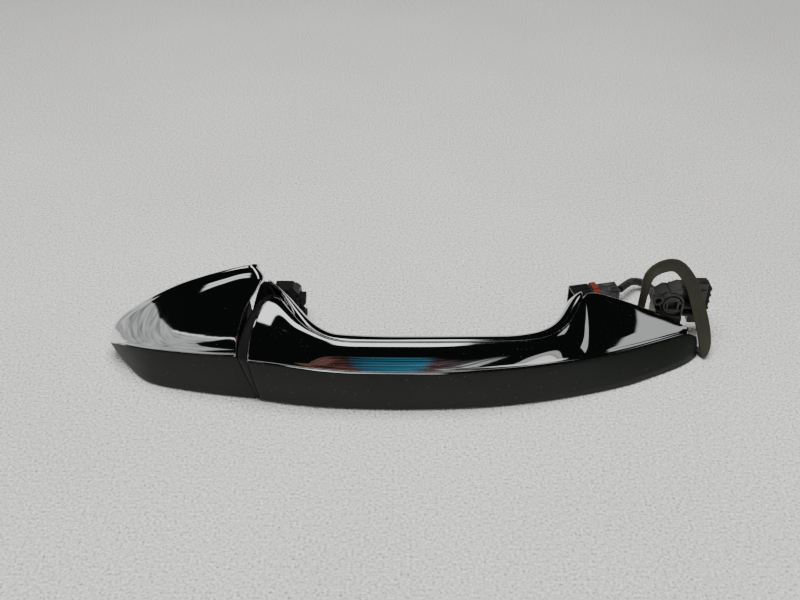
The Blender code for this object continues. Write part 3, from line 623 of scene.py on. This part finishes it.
def grip_inner_section(station):
    """Finger-side shell: rolled seam edge, over the crest, down the back and under."""
    seam_x, crest_x, back_x = (grip_slant(station, lean) for lean in (0.0, -3.0, -4.0))
    seam, crest, back = SEAM(seam_x), CREST(crest_x), BACK(back_x).x
    towards = crest - seam
    start = seam + towards * (SEAM_GAP / max(towards.length, 0.5))
    corner = Vector((back, crest.y))
    round_off = min(3.4, max(0.9, 0.8 * (back - crest.x)))
    points = [at(seam_x, start)]
    for share in (0.3, 0.6, 0.85):
        x = seam_x + (crest_x - seam_x) * share
        points.append(at(x, start.lerp(crest, share) + Vector((0, 0.12 * math.sin(math.pi * share)))))
    for i in range(9):
        angle = math.pi / 2 * i / 8
        across = crest.x + (back - crest.x) * math.sin(angle)
        flat = Vector((across, crest.y - round_off * (1 - math.cos(angle))))
        points.append(at(crest_x + (back_x - crest_x) * i / 8, flat))
    low = crest.y - round_off
    for share in (0.2, 0.45, 0.7, 1.0):
        points.append(at(back_x, Vector((back, low + (HEEL - low) * share))))
    for i in range(1, 6):
        angle = math.pi / 2 * i / 5
        round_by = Vector((math.cos(angle) - 1, 1 - math.sin(angle))) * HEEL
        points.append(at(back_x, Vector((back, 0.0)) + round_by))
    foot = FOOT(back_x)
    depth = min(1.0, max(0.25, -foot.x / 22.0))
    points.append(at(grip_slant(station, FOOT_LEAN), Vector((foot.x + 6.5 * depth + 0.5, 0.0))))
    return points


def cap_slant(station, full):
    return station + full * ease(station, -98.0, CAP_END)


# How far the cap's end leans back, and the radius of its roll, at shares of the way from ridge to rim.
CAP_LEAN = (
    (0.0, -11.5), (0.2, -11.0), (0.4, -9.6), (0.55, -7.4), (0.7, -4.4), (0.82, -2.7), (0.91, -5.0),
    (1.0, -7.6),
)
CAP_FOOT_LEAN = -4.5
CAP_ROLL = ((0.0, 0.25), (0.65, 0.3), (0.78, 0.7), (0.87, 3.2), (1.0, 3.8))
LEAN_SHARES = np.linspace(0.0, 1.0, 41)
LEAN_CURVE = smoothed(between(CAP_LEAN, LEAN_SHARES), 1.6)


def cap_trim_section(station):
    """Cap's chrome: lip, rounded ridge, crowned face, rolled rim and the return to the door."""
    x = cap_slant(station, CAP_LEAN[0][1])
    ridge, foot = CAP_RIDGE_LINE(x), CAP_FOOT_LINE(x)
    down = (foot - ridge).normalized()
    up = (CAP_RIM_LINE(x) - ridge).normalized()
    reach = (foot - ridge).length
    chord = (CAP_RIM_LINE(x) - ridge).length
    size = min(0.5, 0.25 * reach, 0.2 * chord)
    flat = [ridge + down * min(LIP - 0.15, 0.4 * reach)] + corner_arc(ridge, down, up, size)
    points = [at(x, place) for place in flat]
    for share in np.linspace(size / chord + 0.03, 1.0, 34):
        x = cap_slant(station, float(np.interp(share, LEAN_SHARES, LEAN_CURVE)))
        points.append(at(x, bent_line(CAP_RIDGE_LINE(x), CAP_RIM_LINE(x), CAP_BEND, share)))
    rim = CAP_RIM_LINE(x)
    points.append(at(x, Vector((rim.x * 0.6, rim.y + 0.22))))
    points.append(at(x, Vector((0.0, rim.y + 0.3))))
    return points


def rolled_end(before, edge, radii, inward):
    """Rows that carry a surface on over its last row, round a fillet and into the gap."""
    steps = 6
    frames = []
    for i, place in enumerate(edge[:-2]):
        along = (edge[i + 1] - edge[max(i - 1, 0)]).normalized()
        step = place - before[i]
        onward = (step - along * step.dot(along)).normalized()
        frames.append((onward, onward.cross(along).normalized()))
    frames += [frames[-1], frames[-1]]
    rows = []
    for k in range(1, steps + 2):
        angle = math.pi / 2 * min(k, steps) / steps
        row = []
        for i, place in enumerate(edge):
            onward, outward = frames[i]
            moved = place + onward * radii[i] * math.sin(angle) - outward * radii[i] * (1 - math.cos(angle))
            if k > steps:
                moved -= outward * inward
            moved.y = min(moved.y, 2.4)
            row.append(moved)
        rows.append(row)
    return rows


def cap_cover_section(station):
    """Cap's painted face: from the lip's gap down the front, round the foot and back to the door."""
    leans = (CAP_LEAN[0][1], CAP_FOOT_LEAN)
    points = cover_front(station, cap_slant, leans, CAP_RIDGE_LINE, CAP_FOOT_LINE, 0.4)
    x = cap_slant(station, CAP_FOOT_LEAN)
    foot = CAP_FOOT_LINE(x)
    round_off = min(1.0, -foot.x / 20.0)
    corner = Vector((foot.x, foot.y - round_off))
    up = (CAP_RIDGE_LINE(x) - foot).normalized()
    size = min(2.2, 0.28 * (CAP_RIDGE_LINE(x) - foot).length)
    for place in corner_arc(corner, up, Vector((1.0, 0.0)), size, 6)[1:]:
        points.append(at(x, place))
    for share in (0.25, 0.5, 0.75, 1.0):
        points.append(at(x, Vector((foot.x * (1 - share), foot.y - round_off * (1 - 0.2 * share)))))
    return points


def loft_into(work, rings):
    """Adds a closed solid through rings, with its ends fanned from their middles."""
    verts = [[work.verts.new(to_row(point)) for point in ring] for ring in rings]
    count = len(verts[0])
    faces = skin(work, verts)
    for ring in (verts[0], verts[-1]):
        middle = work.verts.new(sum((vert.co for vert in ring), Vector()) / count)
        for i in range(count):
            faces.append(work.faces.new((ring[i], ring[(i + 1) % count], middle)))
    bmesh.ops.recalc_face_normals(work, faces=faces)


def scaled_ring(ring, size, shift):
    """Ring scaled about its middle; shift gives the move along X at a point."""
    middle = sum(ring, Vector()) / len(ring)
    places = [middle + (point - middle) * size for point in ring]
    return [place + Vector((shift(place), 0, 0)) for place in places]


def end_bulge(place):
    return max(0.1, 1 - abs(place.z - 25.0) / 28.0)


def make_end_piece():
    """Domed black plug in the grip's end, and the dark wall inside the cap that faces it."""
    station = GRIP_START
    ring = grip_cover_section(station)[:-1] + grip_inner_section(station)[::-1][1:-1]
    ring += grip_trim_section(station)[::-1][:-1]
    profile = ((2.6, 0.0, 0.8), (0.3, 0.0, 0.86), (-0.2, 0.0, 0.955), (-0.5, 1.0, 0.98), (-0.7, 2.2, 0.985),
               (-0.8, 3.4, 0.96), (-0.8, 4.2, 0.9), (-0.8, 4.7, 0.78), (-0.8, 4.9, 0.55), (-0.8, 5.0, 0.25))
    rings = [scaled_ring(ring, size, lambda p, s=shift, b=bulge: s - b * end_bulge(p))
             for shift, bulge, size in profile]
    work = bmesh.new()
    loft_into(work, rings)
    place(finish_mesh("grip_end_skin", work, BLACK, 60.0), "grip", "black_plastic", "grip_end_piece")
    wall = []
    for station, size in ((-63.5, 0.89), (-60.4, 0.925), (-59.6, 0.91), (-59.4, 0.6)):
        ring = cap_cover_section(station) + cap_trim_section(station)[::-1][1:]
        wall.append(scaled_ring(ring, size, lambda p: 0.0))
    work = bmesh.new()
    loft_into(work, wall)
    place(finish_mesh("cap_end_wall", work, BLACK, 60.0), "cap", "black_plastic")


def make_shells():
    stations = spaced(GRIP_START, -20, 0.8) + spaced(-20, 50, 2.0)[1:] + spaced(50, TRIM_END, 1.0)[1:]
    trim = grid_object("grip_trim_skin", [grip_trim_section(s) for s in stations], CHROME)
    place(trim, "grip", "chrome_plating", "grip_chrome_trim")
    rows = [grip_cover_section(s) for s in stations + spaced(TRIM_END, COVER_END, 0.75)[1:]]
    cover = grid_object("grip_cover_skin", rows, PAINT, flip=True)
    place(cover, "grip", "dark_paint", "grip_cover")
    rows = [grip_inner_section(s) for s in stations if s <= SHOULDER_END]
    inner = grid_object("grip_inner_skin", rows, CHROME)
    place(inner, "grip", "chrome_plating", "grip_inner_shell")
    stations = spaced(CAP_START, -118, 0.5) + spaced(-118, -98, 1.5)[1:] + spaced(-98, CAP_END, 0.9)[1:]
    rows = [cap_trim_section(s) for s in stations]
    # One share for each point of a section: the lip and the ridge's corner, the face, the return.
    shares = [0.0] * 7 + list(np.linspace(0.08, 1.0, 34)) + [1.0, 1.0]
    rows += rolled_end(rows[-3], rows[-1], [float(radius) for radius in between(CAP_ROLL, shares)], 0.5)
    trim = grid_object("cap_trim_skin", rows, CHROME)
    place(trim, "cap", "chrome_plating", "cap_chrome_trim")
    cover = grid_object("cap_cover_skin", [cap_cover_section(s) for s in stations], PAINT, flip=True)
    place(cover, "cap", "dark_paint", "cap_cover")


# ---------------------------------------------------------------- moulded parts

def box_into(work, low, high, turn=Matrix.Identity(4)):
    made = bmesh.ops.create_cube(work, size=1.0)["verts"]
    for vert in made:
        vert.co = Vector([a + (b - a) * (part + 0.5) for a, b, part in zip(low, high, vert.co)])
        vert.co = to_row(turn @ vert.co)


def prism_into(work, outline, low, high, axis="Y"):
    """Adds a prism along an axis: its outline gives the other two coordinates in their own order."""
    rings = []
    for depth in (low, high):
        spots = [list(flat) for flat in outline]
        for spot in spots:
            spot.insert("XYZ".index(axis), depth)
        rings.append([work.verts.new(to_row(spot)) for spot in spots])
    faces = skin(work, rings) + [work.faces.new(ring) for ring in rings]
    bmesh.ops.recalc_face_normals(work, faces=faces)


def ring_into(work, centre, radius, bore, low, high, start=0.0, end=360.0):
    """Adds a ring, or part of one, about an axis along Y."""
    closed = abs(end - start) > 359.0
    steps = 32
    rings = []
    for i in range(steps if closed else steps + 1):
        angle = math.radians(start + (end - start) * i / steps)
        out = Vector((math.cos(angle), 0, math.sin(angle)))
        corners = []
        for reach, depth in ((radius, low), (radius, high), (bore, high), (bore, low)):
            corners.append(work.verts.new(to_row(Vector((centre[0], depth, centre[1])) + out * reach)))
        rings.append(corners)
    faces = skin(work, rings, closed)
    if not closed:
        faces += [work.faces.new(rings[0]), work.faces.new(rings[-1][::-1])]
    bmesh.ops.recalc_face_normals(work, faces=faces)


def disc_into(work, centre, radius, low, high):
    angles = np.linspace(0.0, 2 * math.pi, 28, endpoint=False)
    spokes = [Vector((math.cos(angle), math.sin(angle))) * radius for angle in angles]
    prism_into(work, [Vector(centre) + spoke for spoke in spokes], low, high)


def moulded(name, work, material, body, slot, node, edge):
    """Moulding with its edges rounded by that many mm, in place of a CAD node."""
    obj = finish_mesh(name, work, material, 35.0)
    bevel = obj.modifiers.new("edges", "BEVEL")
    bevel.width = edge * MM
    bevel.segments = 3
    bevel.limit_method = "ANGLE"
    bevel.angle_limit = math.radians(35.0)
    place(obj, body, slot, node)


def make_pivot_leg():
    """Ribbed grey moulding: root with a square socket in a ringed boss, a bridge and the pivot block."""
    work = bmesh.new()
    root = (
        (114.8, 11.8), (126.4, 11.8), (127.4, 14.0), (127.4, 24.5), (124.8, 28.2), (118.8, 28.8),
        (114.8, 26.0),
    )
    prism_into(work, root, 3.6, 11.2)
    prism_into(work, ((114.8, 11.8), (127.2, 11.8), (127.2, 16.4), (120.0, 18.0), (114.8, 21.0)), 0.5, 4.2)
    ring_into(work, (121.9, 22.9), 5.6, 4.7, 1.4, 5.0)
    ring_into(work, (121.9, 22.9), 4.2, 3.4, 0.4, 4.4, 15.0, 300.0)
    for low, high in (((119.0, 0.6, 20.0), (120.0, 5, 26.0)), ((124.0, 0.6, 20.0), (125.0, 5, 26.0)),
                      ((119.0, 0.6, 19.6), (125.0, 5, 20.6)), ((119.0, 0.6, 25.2), (125.0, 5, 26.2))):
        box_into(work, low, high)
    ring_into(work, (115.6, 25.2), 2.6, 1.3, 1.2, 4.6)
    disc_into(work, (115.6, 25.2), 1.6, 3.4, 4.4)
    box_into(work, (120.6, 2.4, 27.6), (126.0, 9.5, 30.4))
    box_into(work, (126.2, 1.0, 13.0), (127.3, 6.0, 24.0))
    for height in (14.2, 18.4):
        box_into(work, (120.5, 4.6, height), (137.0, 8.9, height + 1.1))
    bridge = ((120.5, 8.8), (132.0, 8.8), (137.0, 10.2), (137.0, 15.0), (126.0, 15.0), (120.5, 12.0))
    prism_into(work, bridge, 12.4, 27.6, axis="Z")
    block = ((9.0, 7.2), (14.5, 7.2), (16.8, 10.0), (16.8, 26.0), (13.8, 29.4), (9.0, 29.4))
    prism_into(work, block, 133.0, 139.6, axis="X")
    for height in (11.5, 16.0, 20.5, 25.0):
        box_into(work, (132.0, 8.4, height), (139.0, 9.4, height + 0.9))
    ring_into(work, (136.2, 18.2), 2.7, 1.7, 8.1, 9.4)
    moulded("pivot_leg_skin", work, GREY, "grip", "grey_moulding", "pivot_leg", 0.35)
    work = bmesh.new()
    pad = ((9.6, 9.2), (16.2, 9.2), (16.2, 26.8), (9.6, 26.8))
    prism_into(work, pad, 139.7, 141.4, axis="X")
    for height in (11.0, 14.6, 18.2, 21.8, 25.0):
        rib = ((10.2, height - 0.6), (15.6, height - 0.6), (15.6, height + 0.6), (10.2, height + 0.6))
        prism_into(work, rib, 141.2, 142.1, axis="X")
    moulded("pivot_pad_skin", work, RUBBER, "grip", "black_rubber", "pivot_pad", 0.25)


def make_hook_leg():
    """Black hook behind the grip's cap end: ribbed foot, side wing, arm and tail."""
    work = bmesh.new()
    foot = ((-56.3, 7.4), (-45.2, 7.4), (-45.2, 27.6), (-47.8, 31.2), (-53.8, 31.4), (-56.3, 28.8))
    prism_into(work, foot, 2.6, 8.9)
    prism_into(work, ((-56.3, 7.4), (-45.2, 7.4), (-45.2, 12.5), (-56.3, 12.5)), 0.4, 3.2)
    for x in (-56.3, -51.2, -46.4):
        box_into(work, (x, 0.6, 11.5), (x + 1.2, 4.0, 29.4 if x < -50 else 26.6))
    box_into(work, (-56.0, 0.9, 20.5), (-45.6, 4.0, 21.6))
    box_into(work, (-55.6, 1.4, 29.6), (-49.4, 8.8, 31.3))
    wing = (
        (-46.6, 13.2), (-42.3, 13.2), (-42.3, 15.8), (-43.6, 16.6), (-43.6, 21.4), (-42.3, 22.2),
        (-42.3, 25.4), (-46.6, 25.4),
    )
    prism_into(work, wing, 2.7, 8.8)
    ring_into(work, (-44.4, 19.0), 1.9, 1.1, 2.2, 4.0)
    arm = ((-52.4, 6.2), (-46.7, 6.2), (-46.7, 18.4), (-48.2, 19.8), (-52.4, 19.8))
    prism_into(work, arm, 7.6, 24.0)
    for height in (8.6, 12.6, 16.6):
        box_into(work, (-46.9, 8.8, height), (-45.7, 20.6, height + 1.1))
    tail = ((-56.6, 5.3), (-46.7, 5.3), (-46.7, 15.2), (-48.4, 16.8), (-56.6, 16.8))
    prism_into(work, tail, 21.2, 27.8)
    moulded("hook_leg_skin", work, BLACK, "grip", "black_plastic", "hook_leg", 0.35)


def tube_into(work, half_y, half_z, wall, start, end, back=0.0, corner=1.0):
    """Adds one rounded rectangular tube on the connector's axis, with a rear wall if back is given."""
    def loop(x, shrink):
        y, z = half_y - shrink, half_z - shrink
        radius = max(0.2, corner - shrink)
        places = []
        for cy, cz, first in ((y - radius, z - radius, 0), (-(y - radius), z - radius, 90),
                              (-(y - radius), -(z - radius), 180), (y - radius, -(z - radius), 270)):
            for step in range(5):
                angle = math.radians(first + 90 * step / 4)
                places.append(Vector((x, cy + radius * math.cos(angle), cz + radius * math.sin(angle))))
        return [work.verts.new(to_row(PLUG_PLACE @ place)) for place in places]

    chamfer = 0.25
    rings = [loop(start, wall), loop(start, chamfer), loop(start + chamfer, 0.0)]
    rings += [loop(end - chamfer, 0.0), loop(end, chamfer)]
    if back:
        rings += [loop(end, half_y * 0.6), loop(end - back, half_y * 0.6)]
    rings.append(loop(end - back, wall))
    bmesh.ops.recalc_face_normals(work, faces=skin(work, rings, closed=True))


def make_connector():
    """Miniature connector: ribbed housing, locking ring and rear cover."""
    work = bmesh.new()
    tube_into(work, 4.7, 5.0, 1.1, 0.0, 9.4)
    for side in (-2.6, 0.0, 2.6):
        box_into(work, (0.6, side - 0.35, 4.8), (9.2, side + 0.35, 5.35), PLUG_PLACE)
    for side in (-4.95, 4.6):
        box_into(work, (1.0, side, -2.6), (9.0, side + 0.35, -1.6), PLUG_PLACE)
        box_into(work, (1.0, side, 1.2), (9.0, side + 0.35, 2.2), PLUG_PLACE)
    moulded("connector_housing_skin", work, GLOSS, "grip", "gloss_black_plastic", "connector_housing", 0.12)
    work = bmesh.new()
    tube_into(work, 4.85, 5.15, 0.6, 10.2, 13.5, corner=0.9)
    for side in (-4.95, 4.75):
        for x in (10.6, 11.7, 12.8):
            box_into(work, (x, side, -2.0), (x + 0.5, side + 0.2, 2.0), PLUG_PLACE)
    box_into(work, (10.2, -1.6, 5.05), (13.4, 1.6, 5.5), PLUG_PLACE)
    moulded("connector_lock_skin", work, RED, "lock_ring", "red_plastic", "connector_lock", 0.1)
    work = bmesh.new()
    tube_into(work, 3.9, 4.2, 0.8, 9.7, 23.6, back=1.4, corner=0.8)
    for side in (-3.2, -1.1, 1.0, 3.0):
        box_into(work, (14.6, side - 0.25, 4.1), (23.0, side + 0.25, 4.5), PLUG_PLACE)
    box_into(work, (15.4, -4.2, -2.4), (21.4, -3.8, 0.4), PLUG_PLACE)
    box_into(work, (14.5, -4.15, 2.6), (23.2, -3.8, 3.2), PLUG_PLACE)
    box_into(work, (21.9, -4.1, -3.6), (22.7, -3.8, 2.8), PLUG_PLACE)
    moulded("connector_rear_skin", work, WORN, "grip", "grey_moulding", "connector_rear_cover", 0.12)


def make_gasket():
    """Loose rubber band round the pivot leg, standing on its lower bend."""
    rows = [Vector(row) for row in GASKET_LOOP]
    count = len(rows)
    loop = []
    for i in range(count):
        around = [rows[(i + k) % count] for k in (-1, 0, 1, 2)]
        loop += [on_spline(*around, step / 8) for step in range(8)]
    total = len(loop)
    blurred = []
    for i in range(total):
        near = [loop[(i + k) % total] for k in range(-2, 3)]
        blurred.append(sum(near, Vector((0, 0, 0, 0))) / 5)
    centre = sum(blurred, Vector((0, 0, 0, 0))).xyz / total
    work = bmesh.new()
    rings = []
    for i, spot in enumerate(blurred):
        along = (blurred[(i + 1) % total].xyz - blurred[i - 1].xyz).normalized()
        outward = spot.xyz - centre
        outward = (outward - along * outward.dot(along)).normalized()
        thin = along.cross(outward)
        half = spot.w / 2
        section = []
        for wide, depth in GASKET_SECTION:
            corner = spot.xyz + outward * half * wide + thin * depth
            corner.z = max(corner.z, 0.05)
            section.append(work.verts.new(to_row(corner)))
        rings.append(section)
    bmesh.ops.recalc_face_normals(work, faces=skin(work, rings, closed=True))
    gasket = finish_mesh("pivot_gasket_skin", work, OLIVE, 50.0)
    place(gasket, "grip", "olive_rubber", "pivot_gasket")


def place(obj, body, slot, node=None):
    """The piece rides on a body and stands for a CAD node if one is named; slot is not used."""
    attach(obj, body)
    if node:
        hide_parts(node)


# ---------------------------------------------------------------- lead

def make_lead():
    route = smooth_route(LEAD_ROUTE, LEAD_POINTS)
    lead = make_tube("lead", route, LEAD_DIAMETER, SLEEVE)
    place(lead, "grip", "braided_sleeve", "lead_sleeve")


# ---------------------------------------------------------------- carried-over nodes

def finish_nodes():
    """Materials for the CAD nodes that stay."""
    finishes = {
        "black_plastic": BLACK, "grey_moulding": GREY, "gloss_black_plastic": GLOSS, "red_plastic": RED,
        "black_rubber": RUBBER, "olive_rubber": OLIVE, "braided_sleeve": SLEEVE, "zinc_steel": ZINC,
        "copper": COPPER, "brass": BRASS, "ferrite": FERRITE, "circuit_board": BOARD,
        "chrome_plating": CHROME, "dark_paint": PAINT,
    }
    for row in frame["record"]["subparts"]:
        node = frame["nodes"][row["node"]]
        for slot in node.material_slots:
            slot.material = finishes[row["material_slot"]]


# ---------------------------------------------------------------- room

def make_floor():
    material, nodes, vector = new_material("floor", (0.7, 0.69, 0.67), 0.75, Specular_IOR_Level=0.2)
    speck = nodes.noise(vector, 900.0, 2.0, 0.6)
    cloud = nodes.noise(vector, 9.0, 3.0)
    base = nodes.ramp(cloud, (0.3, (0.76, 0.752, 0.732)), (0.7, (0.83, 0.822, 0.802)))
    grains = nodes.ramp(speck, (0.3, 0.35), (0.43, 0.84), (0.56, 1.0), (0.66, 1.3))
    nodes.surface(Base_Color=nodes.mix(1.0, base, grains, "MULTIPLY"))
    work = bmesh.new()
    bmesh.ops.create_grid(work, x_segments=1, y_segments=1, size=FLOOR_HALF)
    finish_mesh("floor", work, material)


class Room(Nodes):
    """Room that the handle reflects, painted part by part over a dark ceiling.

    side and depth say how far a direction runs along X and along Y for each unit that it rises, and reach how
    far it runs altogether. A mask is 1 inside its part of the room and 0 outside.
    """

    def __init__(self, tree):
        super().__init__(tree)
        self.direction = self.add("ShaderNodeTexCoord").outputs["Generated"]
        parts = self.add("ShaderNodeSeparateXYZ", {0: self.direction})
        height = self.math("MAXIMUM", parts.outputs[2], 0.02)
        self.side = self.math("DIVIDE", parts.outputs[0], height)
        self.depth = self.math("DIVIDE", parts.outputs[1], height)
        squares = [self.math("MULTIPLY", part, part) for part in (self.side, self.depth)]
        self.reach = self.math("SQRT", self.math("ADD", *squares))
        self.uneven = self.math("MULTIPLY_ADD", self.noise(self.direction, 14.0, 4.0, 0.6), 0.16, -0.08)
        self.colour = (0.004, 0.0045, 0.0045, 1.0)

    def past(self, value, start, width=0.03):
        return self.math("MULTIPLY_ADD", value, 1 / width, -start / width, clamp=True)

    def before(self, value, end, width=0.03):
        return self.math("SUBTRACT", 1.0, self.past(value, end, width))

    def outside(self, *masks):
        return self.math("SUBTRACT", 1.0, self.all_of(*masks))

    def all_of(self, *masks):
        result = masks[0]
        for mask in masks[1:]:
            result = self.math("MULTIPLY", result, mask)
        return result

    def paint(self, tint, *masks):
        """Lays a grey or a colour over the part of the room that all the masks hold."""
        tint = (tint, tint, tint, 1.0) if isinstance(tint, float) else tint
        self.colour = self.mix(self.all_of(*masks), self.colour, tint)


def make_world():
    """Dim room over the handle, with the walls and lights that its chrome reflects."""
    world = bpy.data.worlds.new("room")
    world.use_nodes = True
    bpy.context.scene.world = world
    room = Room(world.node_tree)
    side, depth, reach, direction = room.side, room.depth, room.reach, room.direction
    past, before, outside = room.past, room.before, room.outside

    # Streaky wall on the left, cut away at its near corner.
    streaks = room.noise(room.mapped(direction, Scale=(2.0, 1.0, 9.0)), 3.0, 3.0, 0.55)
    wall = room.ramp(streaks, (0.35, (0.20, 0.21, 0.21)), (0.5, (0.42, 0.43, 0.42)),
                     (0.68, (0.56, 0.56, 0.55)))
    slant = room.math("MULTIPLY_ADD", side, -1.41, room.math("MULTIPLY", depth, -1.0))
    slant = room.math("ADD", slant, room.uneven)
    near_corner = outside(before(depth, -0.78), past(side, -0.92))
    room.paint(wall, past(slant, 1.56), before(side, -0.5), near_corner)

    # Plain wall on the right, seen in the face over the pivot.
    wavy = room.math("ADD", side, room.math("MULTIPLY", room.uneven, 0.2))
    room.paint(0.46, past(wavy, 1.07), before(reach, 1.72, 0.06), before(depth, 0.31), past(depth, -0.27))

    # Coloured figure in front, broken into bands, seen along the grip's ridge.
    across = room.math("MULTIPLY_ADD", room.math("ADD", side, room.uneven), 0.5, 0.5, clamp=True)
    figure = room.ramp(across, (0.26, (0.16, 0.075, 0.06)), (0.42, (0.07, 0.035, 0.035)),
                       (0.46, (0.03, 0.09, 0.14)), (0.53, (0.05, 0.19, 0.28)), (0.56, (0.09, 0.05, 0.05)),
                       (0.68, (0.12, 0.10, 0.11)), (0.76, (0.5, 0.5, 0.49)))
    bands = room.noise(room.mapped(direction, Scale=(1.5, 26.0, 26.0)), 1.0, 2.0, 0.5)
    figure = room.mix(1.0, figure, room.ramp(bands, (0.4, 0.18), (0.55, 1.15)), "MULTIPLY")
    right_end = before(room.math("MULTIPLY_ADD", side, 1.8, depth), -0.75, 0.2)
    room.paint(figure, before(depth, -0.75), right_end, past(side, -0.5), before(side, 0.8),
               before(reach, 8.0, 2.0))

    # Wall far behind, and the dull strip all round the horizon.
    room.paint(0.62, past(depth, 3.0, 0.4))
    room.paint(0.4, past(reach, 9.0, 2.0))

    # Window overhead, the left wall's bright edge, and two long lamps with a gap between them.
    room.paint(1.5, past(side, -0.13), before(side, 0.085), past(depth, 0.13), before(depth, 0.95, 0.1))
    room.paint(0.9, past(slant, 1.56), before(slant, 1.63), before(side, -0.5), before(depth, -0.2))
    tilt = room.math("MULTIPLY_ADD", side, 0.29, room.math("ADD", depth, 0.232))
    gap = outside(past(tilt, 0.345, 0.01), before(tilt, 0.362, 0.01))
    room.paint(1.11, past(side, -0.83), before(side, -0.38), past(tilt, 0.27), before(tilt, 0.44), gap)

    background = world.node_tree.nodes["Background"]
    world.node_tree.links.new(room.colour, background.inputs["Color"])
    background.inputs["Strength"].default_value = 1.0


def area_light(name, place, target, size, power):
    """Soft light that the chrome doesn't mirror."""
    data = bpy.data.lights.new(name, "AREA")
    data.shape = "RECTANGLE"
    data.size, data.size_y = size
    data.energy = power
    light = bpy.data.objects.new(name, data)
    light.location = place
    light.rotation_euler = (Vector(target) - Vector(place)).to_track_quat("-Z", "Y").to_euler()
    light.visible_glossy = False
    bpy.context.scene.collection.objects.link(light)


make_camera()

CHROME = chrome_material()
PAINT = paint_material()
BLACK = grain_material("black_plastic_skin", (0.0065, 0.0065, 0.0065), 0.5, 0.35, 0.02,
                       Specular_IOR_Level=0.25)
GREY = grain_material("grey_moulding_skin", (0.02, 0.0198, 0.0185), 0.4, 0.3, 0.02, 0.5)
GLOSS = grain_material("gloss_black_skin", (0.01, 0.01, 0.01), 0.2, 0.6, 0.006)
RED = grain_material("red_plastic_skin", (0.125, 0.024, 0.012), 0.48, 0.4, 0.01)
RUBBER = rubber_material("black_rubber_skin", (0.017, 0.017, 0.017))
OLIVE = rubber_material("olive_rubber_skin", (0.042, 0.042, 0.03))
SLEEVE = sleeve_material()
ZINC = metal_material("zinc_skin", (0.55, 0.55, 0.53), 0.35)
COPPER = metal_material("copper_skin", (0.72, 0.33, 0.16), 0.35, 2500.0)
BRASS = metal_material("brass_skin", (0.72, 0.52, 0.22), 0.3)
FERRITE = grain_material("ferrite_skin", (0.05, 0.05, 0.055), 0.7, 0.3, 0.03)
BOARD = board_material()
WORN = worn_material()

make_lead()
finish_nodes()
make_shells()
make_end_piece()
make_pivot_leg()
make_hook_leg()
make_connector()
make_gasket()

make_floor()
make_world()
area_light("overhead", (-0.05, -0.02, 0.95), (-0.05, 0.0, 0.0), (0.75, 0.6), 12.5)
area_light("front_fill", (0.1, -1.0, 0.8), (0.0, 0.0, 0.0), (0.9, 0.7), 3.0)
